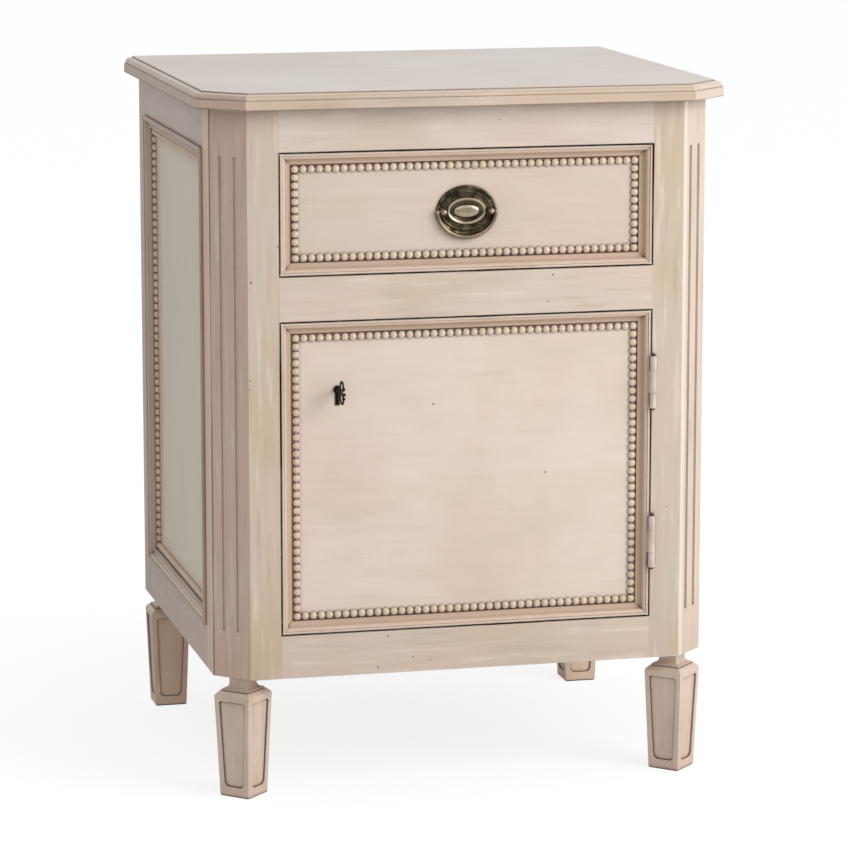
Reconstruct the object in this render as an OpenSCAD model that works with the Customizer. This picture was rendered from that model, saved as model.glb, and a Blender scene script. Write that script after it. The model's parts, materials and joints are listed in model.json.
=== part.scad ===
// Bedside pot cupboard: a painted case on four square tapered legs, with canted and fluted
// front corners, one drawer over one door, and mitred mouldings with a row of beads in each panel.
// Millimetres. Origin on the floor, under the middle of the whole; +Z up, front towards -Y.

/* [Case] */
// Width of the case across its sides
case_w = 546; // [460:1:700]
// Depth of the case from its front face to its back
case_d = 470; // [430:1:600]
// Height of the case from the legs to the top slab
case_h = 612; // [520:1:760]
// Thickness of posts, rails, drawer front and door
wood_t = 22; // [20:0.5:26]
// Leg of the 45 degree cant on each front corner
cant = 34; // [28:1:44]
// Flat of a front post beside the opening
front_stile = 34; // [26:1:60]
// Flat of a front post on the side of the case
side_stile = 38.5; // [34:0.5:70]
// Width of a back post, seen from the side and from the back
back_post = 43; // [40:1:60]
// Height of the rail above the drawer
top_rail_h = 46.5; // [36:0.5:70]
// Height of the rail between drawer and door
mid_rail_h = 48; // [40:0.5:70]
// Height of the rail under the door
low_rail_h = 47; // [44:0.5:70]
// Height of the drawer opening
drawer_open_h = 131.5; // [100:0.5:170]
// Gap round the drawer front and the door
reveal = 1.2; // [0.8:0.1:2]

/* [Joinery] */
// Length of a rail's tenon
tenon_l = 12; // [8:1:14]
// Thickness of a rail's tenon
tenon_t = 8; // [6:0.5:10]
// Shoulder above and below a tenon
tenon_shoulder = 8; // [8:1:10]
// Depth of the grooves that hold the side panels
groove_depth = 8; // [5:0.5:10]
// Thickness of the side panels
panel_t = 8; // [6:0.5:9]
// Room round a side panel in its grooves
panel_float = 0.4; // [0.2:0.1:0.8]
// Thickness of the back boards
back_board_t = 10; // [8:0.5:14]
// Number of back boards
back_board_count = 4; // [3:1:6]
// Width of the rebate in a back post
rebate_w = 31; // [20:1:34]
// Gap between two back boards
back_board_gap = 0.5; // [0.2:0.1:0.8]
// Thickness of the bottom board
bottom_board_t = 15; // [12:0.5:20]
// Side of the battens under the bottom board
batten = 20; // [14:1:24]
// Side of the glue blocks under the top slab
block = 24; // [16:1:32]

/* [Top slab] */
// Thickness of the top slab
slab_t = 18; // [16:0.5:26]
// Overhang of the slab at each side
slab_side = 17; // [8:0.5:30]
// Overhang of the slab at the front
slab_front = 22.5; // [8:0.5:26]
// Leg of the cant on the slab's front corners
slab_cant = 46; // [30:1:60]
// Height of the square band under the slab's moulding
slab_band = 10; // [6:0.5:11]
// Step above the band and step below the top surface
slab_step = 1.5; // [1:0.25:2]

/* [Panels and mouldings] */
// Depth of the panels behind the faces of the drawer and the door
panel_recess = 10; // [8:0.5:11]
// Depth of the side panels behind the sides of the case
side_recess = 8.5; // [7:0.5:10]
// How far the mouldings of the side panels stand out past the sides of the case
side_proud = 3.5; // [0:0.5:5]
// Width of the mitred moulding round a panel
mould_w = 13.2; // [11:0.2:20]
// Width of the moulding's flat outer edge
mould_fillet = 2.5; // [1.5:0.5:4]
// Drop from that flat edge to the curve
mould_quirk = 0.8; // [0.4:0.1:1.5]
// Height of the moulding's inner edge
mould_lip = 1; // [0.6:0.1:2]
// Width of the flat outer edge of the mouldings of the side panels
side_fillet = 4; // [2:0.5:6]
// Height of the inner edge of the mouldings of the side panels
side_lip = 6; // [1:0.5:7]
// Gap in the mitres of the moulding
mitre_gap = 0.2; // [0.1:0.05:0.4]
// Diameter of a bead
bead_d = 8.6; // [6:0.1:8.6]
// Distance from bead to bead, rounded so that whole beads fill each row
bead_pitch = 8.85; // [8.7:0.05:12]
// Thickness of the cord between the beads
bead_cord = 3; // [3:0.1:5]

/* [Flutes] */
// Width of a flute in the canted corners
flute_w = 5.5; // [3:0.25:7]
// Depth of a flute
flute_depth = 1.9; // [1:0.1:2.2]
// Distance between the two flutes of a corner
flute_gap = 18; // [10:0.5:22]
// Plain stretch above and below the flutes
flute_stop = 50; // [30:1:90]

/* [Legs] */
// Height of the legs
leg_h = 133; // [110:1:180]
// Side of a leg below its shoulder
leg_top = 44.5; // [38:0.5:46]
// Side of a leg at the floor
leg_foot = 36.5; // [30:0.5:40]
// Height from a leg's shoulder to the case
leg_shoulder = 19.5; // [17:0.5:30]
// Side of the neck between leg and case
leg_neck = 21; // [18:0.5:24]
// Border round the sunk panel on a leg's face
leg_border = 5.5; // [4:0.5:8]
// Depth of the sunk panel on a leg's face
leg_sink = 2; // [1:0.1:2.5]
// Diameter of the round tenon on top of a leg
leg_pin_d = 14; // [10:1:16]
// Length of that tenon
leg_pin_l = 34; // [20:1:44]

/* [Drawer] */
// Thickness of the drawer's sides
drawer_side_t = 12; // [9:0.5:14]
// Room between the drawer's back and the back rail
drawer_back_room = 21; // [10:1:120]
// Thickness of the drawer's bottom
drawer_bottom_t = 6; // [4:0.5:7]
// Height of the drawer's bottom above its runners
drawer_bottom_up = 10; // [7:0.5:14]
// Gap between drawer and runners
drawer_run_gap = 0.3; // [0.2:0.1:0.5]
// Gap between drawer and side guides
drawer_guide_gap = 0.8; // [0.5:0.1:1.5]
// Width of a runner
runner_w = 76; // [68:1:90]
// Thickness of a runner
runner_t = 18; // [14:0.5:24]
// Thickness of the dust board between the runners
dust_t = 8; // [6:0.5:10]
// Width and height of a side guide
guide = 20; // [14:1:26]
// Width of a kicker above the drawer
kicker_w = 50; // [40:1:60]

/* [Drawer pull] */
// Width of the oval back plate
plate_w = 65; // [56:1:76]
// Height of the oval back plate
plate_h = 54; // [48:1:60]
// Thickness of the back plate
plate_t = 1.2; // [1:0.1:2]
// Distance between the two posts
post_gap = 52; // [46:1:58]
// Diameter of a post
post_d = 6.6; // [5:0.2:8]
// Length of a post in front of the plate, to its ball
post_l = 7.4; // [6:0.2:10]
// Thickness of the bail
bail_d = 4; // [3:0.2:4.4]
// Drop of the bail's middle below the posts
bail_drop = 27.5; // [24:0.5:34]
// Distance from the panel to the bail's axis
bail_out = 4.9; // [4.9:0.1:6]
// Diameter of the bail's pivot ends
bail_pin_d = 2.4; // [1.6:0.1:2.6]
// How far the pull sits below the middle of the drawer
pull_low = 2; // [0:0.5:6]

/* [Door] */
// Length of a hinge
hinge_l = 57; // [50:1:80]
// Length of the hinge's middle knuckle
knuckle_mid = 25; // [18:1:30]
// Diameter of the hinge's barrel
barrel_d = 7.4; // [6:0.1:8]
// Diameter of the hinge pin
hinge_pin_d = 3; // [2:0.1:4]
// Thickness of a hinge leaf
leaf_t = 1.8; // [1.2:0.1:2.2]
// Width of a hinge leaf in the wood
leaf_w = 19; // [17:0.5:20]
// From the door's top to the middle of the upper hinge
hinge_high = 79; // [60:1:120]
// From the door's bottom to the middle of the lower hinge
hinge_low = 84; // [60:1:120]
// Running clearance of pins and shafts in their bores, on the radius
run_fit = 0.05; // [0.03:0.01:0.08]

/* [Lock and key] */
// From the left edge of the door opening to the keyhole
key_in = 64; // [50:0.5:80]
// Height of the keyhole above the middle of the door opening
key_up = 94; // [-100:0.5:110]
// Reach of the keyhole's slot below the middle of its round hole
key_slot = 15.8; // [14:0.1:20]
// Width of the escutcheon's rim round the keyhole
escutcheon_rim = 1.15; // [0.9:0.05:2]
// Thickness of the escutcheon
escutcheon_t = 0.8; // [0.6:0.1:1.5]
// Diameter of the key's shaft
key_shaft_d = 5; // [4:0.2:6]
// Reach of the key in front of the face of the door
key_out = 27; // [22:1:34]
// Height of the key's bow
key_bow_h = 27; // [22:1:30]
// Thickness of the key's bow
key_bow_t = 3.2; // [2.4:0.2:4]
// Reach of the key's bit from the middle of its shaft
key_bit = 9; // [7:0.5:10]
// Height of the lock's case
lock_h = 56; // [52:1:70]
// Depth of the lock's case
lock_d = 12; // [12:0.5:16]
// Thickness of the lock's plates
lock_t = 1.5; // [1.2:0.1:2]
// Travel of the lock's bolt
bolt_throw = 9; // [6:0.5:10]
// Height of the bolt
bolt_h = 9; // [7:0.5:12]

/* [Hidden] */
$fn = 48;

// colours of the materials
paint = [0.84, 0.78, 0.71];
bare_wood = [0.72, 0.57, 0.40];
old_brass = [0.46, 0.38, 0.25];
dark_iron = [0.20, 0.18, 0.15];

// overrun of a cutting tool past the face that it cuts
over = 1;

// places across the width
half_w = case_w/2;
open_x = half_w - cant - front_stile;
inner_x = half_w - wood_t;
panel_x = half_w - side_recess;

// places along the depth
back_y = (case_d + max(slab_front, key_out))/2;
face_y = back_y - case_d;
behind_y = face_y + wood_t;
back_rail_y = back_y - back_board_t - wood_t;
side_front_y = face_y + cant + side_stile;
side_back_y = back_y - back_post;

// places up the height
case_z = leg_h;
door_z0 = case_z + low_rail_h;
top_z = case_z + case_h;
drawer_z1 = top_z - top_rail_h;
drawer_z0 = drawer_z1 - drawer_open_h;
door_z1 = drawer_z0 - mid_rail_h;

// wall kept round the bore for a leg's tenon
bore_wall = 6.6;
front_leg_in = leg_top*sqrt(2)/2;
back_leg_in = leg_top/2;
corner_sum = 2*front_leg_in + (leg_pin_d/2 + bore_wall)*sqrt(2);

// the front and the door, drawn in the plane of their opening
front_w = 2*(open_x - reveal);
drawer_h = drawer_open_h - 2*reveal;
door_h = door_z1 - door_z0 - 2*reveal;
board_t = wood_t - panel_recess;
board_y = face_y + panel_recess;
side_w = side_back_y - side_front_y;
side_h = drawer_z1 - door_z0;
side_mould_h = side_recess + side_proud;

// drawer box
drawer_x = open_x - reveal;
drawer_side_z = drawer_z0 + drawer_run_gap;
drawer_floor_z = drawer_z0 + drawer_bottom_up;
drawer_side_top = drawer_z1 - 2.5;
drawer_end_y = back_rail_y - drawer_back_room;
drawer_groove = 5;
drawer_back_t = 10;
drawer_back_drop = 8;

// drawer pull
pull_z = (drawer_z0 + drawer_z1)/2 - pull_low;
ring_w = 41;
ring_h = 27;
ring_d = 4.4;
boss_w = 28;
boss_h = 12.4;
boss_t = 3;
rim_d = 2.6;
bail_half = post_gap/2 + post_d/2 + 0.6 + bail_d/2;
screw_shank_d = 4;
nut_d = 10;
nut_t = 3;

// hinges
hinge_x = open_x + 0.7;
barrel_gap = 0.3;
hinge_y = face_y - barrel_d/2 - barrel_gap;
hinge_zs = [door_z0 + hinge_low, door_z1 - hinge_high];
knuckle_play = 0.2;
hinge_screw_d = 3.2;
hinge_screw_l = 10;
tip_d = 5;
tip_h = 3;

// lock and key
key_x = -open_x + key_in;
key_z = (door_z0 + door_z1)/2 + key_up;
lock_x0 = -drawer_x;
lock_past_key = 20;
lock_x1 = key_x + lock_past_key;
lock_y0 = face_y + wood_t;
bolt_z = key_z + key_bit + 2 + bolt_h/2;
bolt_t = 6;
bolt_play = 0.2;
bolt_inset = 1;
lock_rim = 12;
lock_cheek = 3;
bolt_l = lock_x1 - lock_rim - lock_t - lock_x0 - bolt_inset - bolt_throw - 4;
bit_t = 2;
bit_w = 6.5;
slot_w = bit_t + 0.6;
lock_screw_d = 3;
lock_screw_l = 8;

// ---- shared shapes ----

// plan of the left front post; its outer corner is the origin
module front_post_plan() {
  polygon([
    [cant, 0], [cant + front_stile, 0], [cant + front_stile, wood_t],
    [corner_sum - wood_t, wood_t], [wood_t, corner_sum - wood_t],
    [wood_t, cant + side_stile], [0, cant + side_stile], [0, cant]
  ]);
}

// plan of the left back post; its outer corner is the origin
module back_post_plan() {
  difference() {
    translate([0, -back_post]) square(back_post);
    translate([back_post - rebate_w, -back_board_t]) square([rebate_w + over, back_board_t + over]);
  }
}

// a shape and its mirror image at the other side of the case
module both_sides() {
  children();
  mirror([1, 0, 0]) children();
}

// the space of the four posts between two heights, for fitting boards round them
module posts_space(z0, z1) {
  both_sides() {
    translate([-half_w, face_y, z0]) linear_extrude(z1 - z0) front_post_plan();
    translate([-half_w, back_y - back_post, z0]) cube([back_post, back_post, z1 - z0]);
  }
}

// a box given by its lowest and highest corner
module box(low, high) {
  translate(low) cube(high - low);
}

// a tenon of a rail of height h at its end, pointing to +X from the origin
module tenon(h) {
  translate([0, -tenon_t/2, tenon_shoulder]) cube([tenon_l, tenon_t, h - 2*tenon_shoulder]);
}

// a rail across the case, between x = -x1 and x = x1
module cross_rail(x1, y0, z0, h) {
  box([-x1, y0, z0], [x1, y0 + wood_t, z0 + h]);
  both_sides() cross_tenon(x1, y0, z0, h);
}

// the right tenon of such a rail
module cross_tenon(x1, y0, z0, h) {
  translate([x1, y0 + wood_t/2, z0]) tenon(h);
}

// the front tenon of a rail on the right side of the case
module side_tenon_front(z0, h) {
  translate([half_w - wood_t/2, side_front_y, z0]) rotate([0, 0, -90]) tenon(h);
}

// the back tenon of a rail on the right side of the case
module side_tenon_back(z0, h) {
  translate([half_w - wood_t/2, side_back_y, z0]) rotate([0, 0, 90]) tenon(h);
}

// the room that the right side panel takes in its grooves
module panel_room(float) {
  box(
    [panel_x - panel_t, side_front_y - groove_depth + float, door_z0 - groove_depth + float],
    [panel_x, side_back_y + groove_depth - float, drawer_z1 + groove_depth - float]
  );
}

// ---- posts, rails and panels ----

// one stopped flute, standing up, with round ends
module flute() {
  z0 = case_z + flute_stop;
  z1 = top_z - flute_stop;
  deep = (flute_w*flute_w/4 + flute_depth*flute_depth)/(2*flute_depth);
  translate([0, flute_depth - deep, 0]) {
    translate([0, 0, z0 + deep]) cylinder(r = deep, h = z1 - z0 - 2*deep);
    translate([0, 0, z0 + deep]) sphere(r = deep);
    translate([0, 0, z1 - deep]) sphere(r = deep);
  }
}

module right_front_post() {
  difference() {
    mirror([1, 0, 0])
      translate([-half_w, face_y, case_z]) linear_extrude(case_h) front_post_plan();
    translate([half_w - cant/2, face_y + cant/2, 0]) rotate([0, 0, 45])
      for (side = [-1, 1]) translate([side*flute_gap/2, 0, 0]) flute();
    translate([half_w - front_leg_in, face_y + front_leg_in, case_z - over])
      cylinder(d = leg_pin_d, h = leg_pin_l + over);
    cross_tenon(open_x, face_y, drawer_z1, top_rail_h);
    cross_tenon(open_x, face_y, door_z1, mid_rail_h);
    cross_tenon(open_x, face_y, case_z, low_rail_h);
    side_tenon_front(drawer_z1, top_rail_h);
    side_tenon_front(case_z, low_rail_h);
    panel_room(0);
  }
}

module front_left_post() {
  color(paint) mirror([1, 0, 0]) right_front_post();
}

module front_right_post() {
  color(paint) difference() {
    right_front_post();
    for (z = hinge_zs) frame_leaf_plate(z);
    for (z = hinge_zs) hinge_screw_row(z, 1);
  }
}

module right_back_post() {
  difference() {
    mirror([1, 0, 0])
      translate([-half_w, back_y, case_z]) linear_extrude(case_h) back_post_plan();
    translate([half_w - back_leg_in, back_y - back_leg_in, case_z - over])
      cylinder(d = leg_pin_d, h = leg_pin_l + over);
    cross_tenon(half_w - back_post, back_rail_y, drawer_z1, top_rail_h);
    cross_tenon(half_w - back_post, back_rail_y, case_z, low_rail_h);
    side_tenon_back(drawer_z1, top_rail_h);
    side_tenon_back(case_z, low_rail_h);
    panel_room(0);
  }
}

module back_left_post() {
  color(paint) mirror([1, 0, 0]) right_back_post();
}

module back_right_post() {
  color(paint) right_back_post();
}

module front_top_rail() {
  color(paint) cross_rail(open_x, face_y, drawer_z1, top_rail_h);
}

module front_middle_rail() {
  color(paint) cross_rail(open_x, face_y, door_z1, mid_rail_h);
}

module front_bottom_rail() {
  color(paint) cross_rail(open_x, face_y, case_z, low_rail_h);
}

// a rail on the right side, with the groove for the panel
module side_rail(z0, h) {
  difference() {
    union() {
      box([inner_x, side_front_y, z0], [half_w, side_back_y, z0 + h]);
      side_tenon_front(z0, h);
      side_tenon_back(z0, h);
    }
    panel_room(0);
  }
}

module left_top_rail() {
  color(paint) mirror([1, 0, 0]) side_rail(drawer_z1, top_rail_h);
}

module left_bottom_rail() {
  color(paint) mirror([1, 0, 0]) side_rail(case_z, low_rail_h);
}

module right_top_rail() {
  color(paint) side_rail(drawer_z1, top_rail_h);
}

module right_bottom_rail() {
  color(paint) side_rail(case_z, low_rail_h);
}

module back_top_rail() {
  color(bare_wood) cross_rail(half_w - back_post, back_rail_y, drawer_z1, top_rail_h);
}

// carries the back ends of the runners
module back_middle_rail() {
  color(bare_wood)
    box([-half_w + back_post, back_rail_y, drawer_z0 - runner_t - batten],
        [half_w - back_post, back_rail_y + wood_t, drawer_z0]);
}

module back_bottom_rail() {
  color(bare_wood) cross_rail(half_w - back_post, back_rail_y, case_z, low_rail_h);
}

module left_panel() {
  color(paint) mirror([1, 0, 0]) panel_room(panel_float);
}

module right_panel() {
  color(paint) panel_room(panel_float);
}

module back_boards() {
  x0 = half_w - back_post + rebate_w;
  pitch = (2*x0 + back_board_gap)/back_board_count;
  color(bare_wood) for (i = [0:back_board_count - 1])
    box([-x0 + i*pitch, back_y - back_board_t, case_z],
        [-x0 + (i + 1)*pitch - back_board_gap, back_y, top_z]);
}

module bottom_board() {
  color(bare_wood) difference() {
    box([-inner_x, behind_y, door_z0 - bottom_board_t], [inner_x, back_rail_y, door_z0]);
    posts_space(door_z0 - bottom_board_t - over, door_z0 + over);
  }
}

module bottom_battens() {
  z1 = door_z0 - bottom_board_t;
  color(bare_wood) both_sides()
    box([inner_x - batten, side_front_y, z1 - batten], [inner_x, side_back_y, z1]);
}

// glue blocks in the corners between the top slab and its rails
module top_blocks() {
  color(bare_wood) both_sides() {
    for (x = [open_x - 3*block, block]) {
      box([x, behind_y, top_z - block], [x + 2*block, behind_y + block, top_z]);
      box([x, back_rail_y - block, top_z - block], [x + 2*block, back_rail_y, top_z]);
    }
  }
}

// ---- top slab ----

// outline of the slab, drawn in by some distance at the front and the sides
module slab_outline(inset) {
  x1 = half_w + slab_side - inset;
  y0 = face_y - slab_front + inset;
  leg = slab_cant - inset*(2 - sqrt(2));
  polygon([
    [-x1, back_y], [-x1, y0 + leg], [-x1 + leg, y0], [x1 - leg, y0], [x1, y0 + leg], [x1, back_y]
  ]);
}

// what the rounding leaves behind one edge; the edge runs along +X from the middle, the wood lies at +Y
module rounded_edge(r, reach) {
  rotate([90, 0, 90]) translate([0, 0, -reach]) linear_extrude(2*reach) {
    translate([r, 0]) square([2*reach, r]);
    intersection() {
      translate([r, 0]) circle(r = r);
      square(r);
    }
  }
}

// the slab's quarter round, between the step over the band and the flat under the top surface
module slab_round(r) {
  x1 = half_w + slab_side - slab_step;
  y0 = face_y - slab_front + slab_step;
  leg = slab_cant - slab_step*(2 - sqrt(2));
  far = case_w + case_d;
  intersection() {
    linear_extrude(r) slab_outline(slab_step);
    translate([0, y0, 0]) rounded_edge(r, far);
    translate([x1, 0, 0]) rotate([0, 0, 90]) rounded_edge(r, far);
    translate([-x1, 0, 0]) rotate([0, 0, -90]) rounded_edge(r, far);
    translate([x1 - leg/2, y0 + leg/2, 0]) rotate([0, 0, 45]) rounded_edge(r, far);
    translate([-x1 + leg/2, y0 + leg/2, 0]) rotate([0, 0, -45]) rounded_edge(r, far);
  }
}

module top_slab() {
  r = slab_t - slab_band - 1.5*slab_step;
  color(paint) translate([0, 0, top_z]) {
    linear_extrude(slab_band) slab_outline(0);
    translate([0, 0, slab_band]) linear_extrude(slab_step/2) slab_outline(slab_step);
    translate([0, 0, slab_band + slab_step/2]) slab_round(r);
    translate([0, 0, slab_t - slab_step]) linear_extrude(slab_step) slab_outline(2.5*slab_step + r);
  }
}

// ---- mouldings and beads, drawn with X along, Y up and Z out of a panel w by h ----

// section of a moulding: X inwards from the edge of the panel, Y out of it; a flat outer edge of height up,
// a drop, a round, a hollow and a flat inner edge
module mould_section(up, flat, lip) {
  r = (up - mould_quirk - lip)/2;
  x1 = flat + 2*r;
  square([flat, up]);
  translate([flat - 0.01, 0]) square([r + 0.01, lip + r]);
  intersection() {
    translate([flat, lip + r]) circle(r = r);
    translate([flat - 0.01, lip]) square([r + over, 2*r]);
  }
  difference() {
    translate([flat, 0]) square([2*r, lip + r]);
    translate([x1, lip + r]) circle(r = r);
  }
  square([mould_w, lip]);
}

// one mitred bar of such a moulding, along the bottom of a panel of width len
module mould_bar(len, up, flat, lip) {
  x0 = mitre_gap/sqrt(2);
  intersection() {
    translate([len/2, 0, 0]) rotate([90, 0, 90])
      translate([0, 0, -len/2]) linear_extrude(len) mould_section(up, flat, lip);
    linear_extrude(up) polygon([
      [x0, 0], [len - x0, 0], [len - mould_w - x0, mould_w], [mould_w + x0, mould_w]
    ]);
  }
}

// four such bars round a panel w by h
module mould_frame(w, h, up, flat, lip) {
  mould_bar(w, up, flat, lip);
  translate([w, h, 0]) rotate(180) mould_bar(w, up, flat, lip);
  translate([w, 0, 0]) rotate(90) mould_bar(h, up, flat, lip);
  translate([0, h, 0]) rotate(-90) mould_bar(h, up, flat, lip);
}

// a row of n beads along +X, half sunk in the panel
module bead_row(n, pitch) {
  intersection() {
    rotate([0, 90, 0]) rotate_extrude() intersection() {
      union() {
        for (i = [0:n - 1]) translate([0, (i + 0.5)*pitch]) circle(d = bead_d);
        translate([0, (pitch - bead_cord)/2]) square([bead_cord/2, n*pitch - pitch + bead_cord]);
      }
      square([bead_d, n*pitch]);
    }
    translate([-over, -bead_d, 0]) cube([n*pitch + 2*over, 2*bead_d, bead_d]);
  }
}

// four rows of beads inside the moulding of a panel w by h
module bead_frame(w, h) {
  in_w = w - 2*mould_w;
  in_h = h - 2*mould_w;
  n_w = round(in_w/bead_pitch);
  n_h = round(in_h/bead_pitch);
  pitch_w = in_w/n_w;
  pitch_h = in_h/n_h;
  for (y = [mould_w + pitch_h/2, h - mould_w - pitch_h/2])
    translate([mould_w, y, 0]) bead_row(n_w, pitch_w);
  for (x = [mould_w + pitch_w/2, w - mould_w - pitch_w/2])
    translate([x, mould_w + pitch_h, 0]) rotate(90) bead_row(n_h - 2, pitch_h);
}

// moves a drawing in the plane of a panel to the front of the drawer or the door
module on_front(z0) {
  translate([-drawer_x, board_y, z0 + reveal]) rotate([90, 0, 0]) children();
}

// moves it to the right side panel
module on_side() {
  translate([panel_x, side_front_y, door_z0]) rotate([90, 0, 90]) children();
}

module left_moulding() {
  color(paint) mirror([1, 0, 0]) on_side() mould_frame(side_w, side_h, side_mould_h, side_fillet, side_lip);
}

module right_moulding() {
  color(paint) on_side() mould_frame(side_w, side_h, side_mould_h, side_fillet, side_lip);
}

module left_beads() {
  color(paint) mirror([1, 0, 0]) on_side() bead_frame(side_w, side_h);
}

module right_beads() {
  color(paint) on_side() bead_frame(side_w, side_h);
}

// ---- legs ----

// outline of a leg seen square to a face, without its neck's tenon
module leg_profile() {
  z1 = leg_h - leg_shoulder;
  half = leg_top/2;
  neck = leg_neck/2;
  slope = 4;
  rise = 3;
  step = 1.5;
  ledge = half - slope;
  plinth = ledge - step;
  cove = plinth - neck;
  ease = 1.2;
  polygon([
    [-leg_foot/2 + ease, 0], [leg_foot/2 - ease, 0], [leg_foot/2, ease],
    [half, z1 - 2*ease], [half - ease/2, z1 - ease/2], [ledge, z1 + rise],
    [-ledge, z1 + rise], [-half + ease/2, z1 - ease/2], [-half, z1 - 2*ease], [-leg_foot/2, ease]
  ]);
  difference() {
    translate([-plinth, z1]) square([2*plinth, rise + 2 + cove]);
    for (side = [-1, 1]) translate([side*plinth, z1 + rise + 2 + cove]) circle(r = cove);
  }
  translate([-neck, z1]) square([leg_neck, leg_shoulder]);
}

// outline of the sunk panel on a leg's face, up the face from the floor
module leg_panel() {
  z0 = 2*leg_border;
  z1 = leg_h - leg_shoulder - leg_border - 2;
  low = leg_foot/2 - leg_border;
  high = leg_top/2 - leg_border;
  round_low = 6;
  round_high = 3;
  polygon([
    [-low + round_low, z0], [low - round_low, z0], [low, z0 + round_low],
    [high, z1 - round_high], [high - round_high, z1],
    [-high + round_high, z1], [-high, z1 - round_high], [-low, z0 + round_low]
  ]);
  for (side = [-1, 1]) {
    translate([side*(low - round_low), z0 + round_low]) circle(r = round_low);
    translate([side*(high - round_high), z1 - round_high]) circle(r = round_high);
  }
}

module leg() {
  lean = atan2((leg_top - leg_foot)/2, leg_h - leg_shoulder);
  difference() {
    intersection() {
      rotate([90, 0, 0]) translate([0, 0, -leg_top]) linear_extrude(2*leg_top) leg_profile();
      rotate([90, 0, 90]) translate([0, 0, -leg_top]) linear_extrude(2*leg_top) leg_profile();
    }
    for (turn = [0:90:270]) rotate(turn) translate([0, -leg_foot/2, 0]) rotate([90 + lean, 0, 0])
      translate([0, 0, -leg_sink]) linear_extrude(leg_top) leg_panel();
  }
  translate([0, 0, leg_h - over]) cylinder(d = leg_pin_d, h = leg_pin_l + over);
}

// a front leg stands square to its cant
module front_leg(side) {
  color(paint) translate([side*(half_w - front_leg_in), face_y + front_leg_in, 0]) rotate(45) leg();
}

module back_leg(side) {
  color(paint) translate([side*(half_w - back_leg_in), back_y - back_leg_in, 0]) leg();
}

// ---- inside the case ----

// a board beside the drawer opening, from the front rail to the back rail, fitted round the posts
module side_board(x0, x1, z0, z1) {
  difference() {
    box([x0, behind_y, z0], [x1, back_rail_y, z1]);
    posts_space(z0 - over, z1 + over);
  }
}

module runner() {
  difference() {
    side_board(inner_x - runner_w, inner_x, drawer_z0 - runner_t, drawer_z0);
    box([inner_x - runner_w - over, face_y, drawer_z0 - dust_t],
        [inner_x - runner_w + drawer_groove, back_y, drawer_z0 + over]);
  }
}

module left_runner() {
  color(bare_wood) mirror([1, 0, 0]) runner();
}

module right_runner() {
  color(bare_wood) runner();
}

module drawer_guides() {
  x0 = drawer_x + drawer_guide_gap;
  color(bare_wood) both_sides() side_board(x0, inner_x, drawer_z0, drawer_z0 + guide);
}

module drawer_kickers() {
  color(bare_wood) both_sides()
    box([open_x - kicker_w, behind_y, drawer_z1], [open_x, back_rail_y, drawer_z1 + guide]);
}

module dust_board() {
  x1 = inner_x - runner_w + drawer_groove;
  color(bare_wood) box([-x1, behind_y, drawer_z0 - dust_t], [x1, back_rail_y, drawer_z0]);
}

// blocks behind the drawer front, on the dust board
module drawer_stops() {
  color(bare_wood) both_sides()
    box([open_x/2, behind_y + drawer_run_gap, drawer_z0],
        [open_x/2 + 2*batten, behind_y + 1.5*batten, drawer_z0 + drawer_bottom_up/2]);
}

// blocks behind the door, one on the middle rail and one on the bottom board
module door_stops() {
  x0 = -open_x + 2*batten;
  y0 = behind_y + drawer_run_gap;
  color(bare_wood) {
    box([x0, y0, door_z1 - batten/2 - reveal], [x0 + 2*batten, y0 + batten/2, door_z1 - reveal]);
    box([x0, behind_y, door_z1 - reveal], [x0 + 2*batten, y0 + batten/2, door_z1 + batten]);
    box([x0, y0, door_z0], [x0 + 2*batten, y0 + batten/2, door_z0 + batten/2]);
  }
}

// ---- drawer ----

module drawer_front() {
  color(paint) difference() {
    box([-drawer_x, board_y, drawer_z0 + reveal], [drawer_x, behind_y, drawer_z1 - reveal]);
    bottom_sheet(0);
    for (side = [-1, 1])
      translate([side*post_gap/2, behind_y + over, pull_z]) rotate([90, 0, 0])
        cylinder(d = screw_shank_d, h = wood_t);
  }
}

module drawer_moulding() {
  color(paint) on_front(drawer_z0) mould_frame(front_w, drawer_h, panel_recess, mould_fillet, mould_lip);
}

module drawer_beads() {
  color(paint) on_front(drawer_z0) bead_frame(front_w, drawer_h);
}

// the drawer's bottom, which runs in grooves of the front and the sides
module bottom_sheet(float) {
  x1 = drawer_x - drawer_side_t + drawer_groove - float;
  box([-x1, behind_y - drawer_groove + float, drawer_floor_z],
      [x1, drawer_end_y, drawer_floor_z + drawer_bottom_t]);
}

module drawer_side() {
  difference() {
    box([drawer_x - drawer_side_t, behind_y, drawer_side_z], [drawer_x, drawer_end_y, drawer_side_top]);
    bottom_sheet(0);
  }
}

module drawer_left_side() {
  color(bare_wood) mirror([1, 0, 0]) drawer_side();
}

module drawer_right_side() {
  color(bare_wood) drawer_side();
}

module drawer_back() {
  x1 = drawer_x - drawer_side_t;
  color(bare_wood)
    box([-x1, drawer_end_y - drawer_back_t, drawer_floor_z + drawer_bottom_t],
        [x1, drawer_end_y, drawer_side_top - drawer_back_drop]);
}

module drawer_bottom() {
  color(bare_wood) bottom_sheet(panel_float);
}

// ---- drawer pull ----

// an oval with half sizes a and b, as a flat shape
module oval(a, b) {
  polygon([for (turn = [0:5:355]) [a*cos(turn), b*sin(turn)]]);
}

// the lower half of an oval band of width w, between two heights
module half_band(a, b, w, z0, z1) {
  translate([0, 0, z0]) linear_extrude(z1 - z0) intersection() {
    difference() {
      oval(a + w/2, b + w/2);
      oval(a - w/2, b - w/2);
    }
    translate([-2*a, -2*b]) square([4*a, 2*b]);
  }
}

// places a drawing of the pull on the drawer's panel
module on_pull() {
  translate([0, board_y, pull_z]) rotate([90, 0, 0]) children();
}

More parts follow.
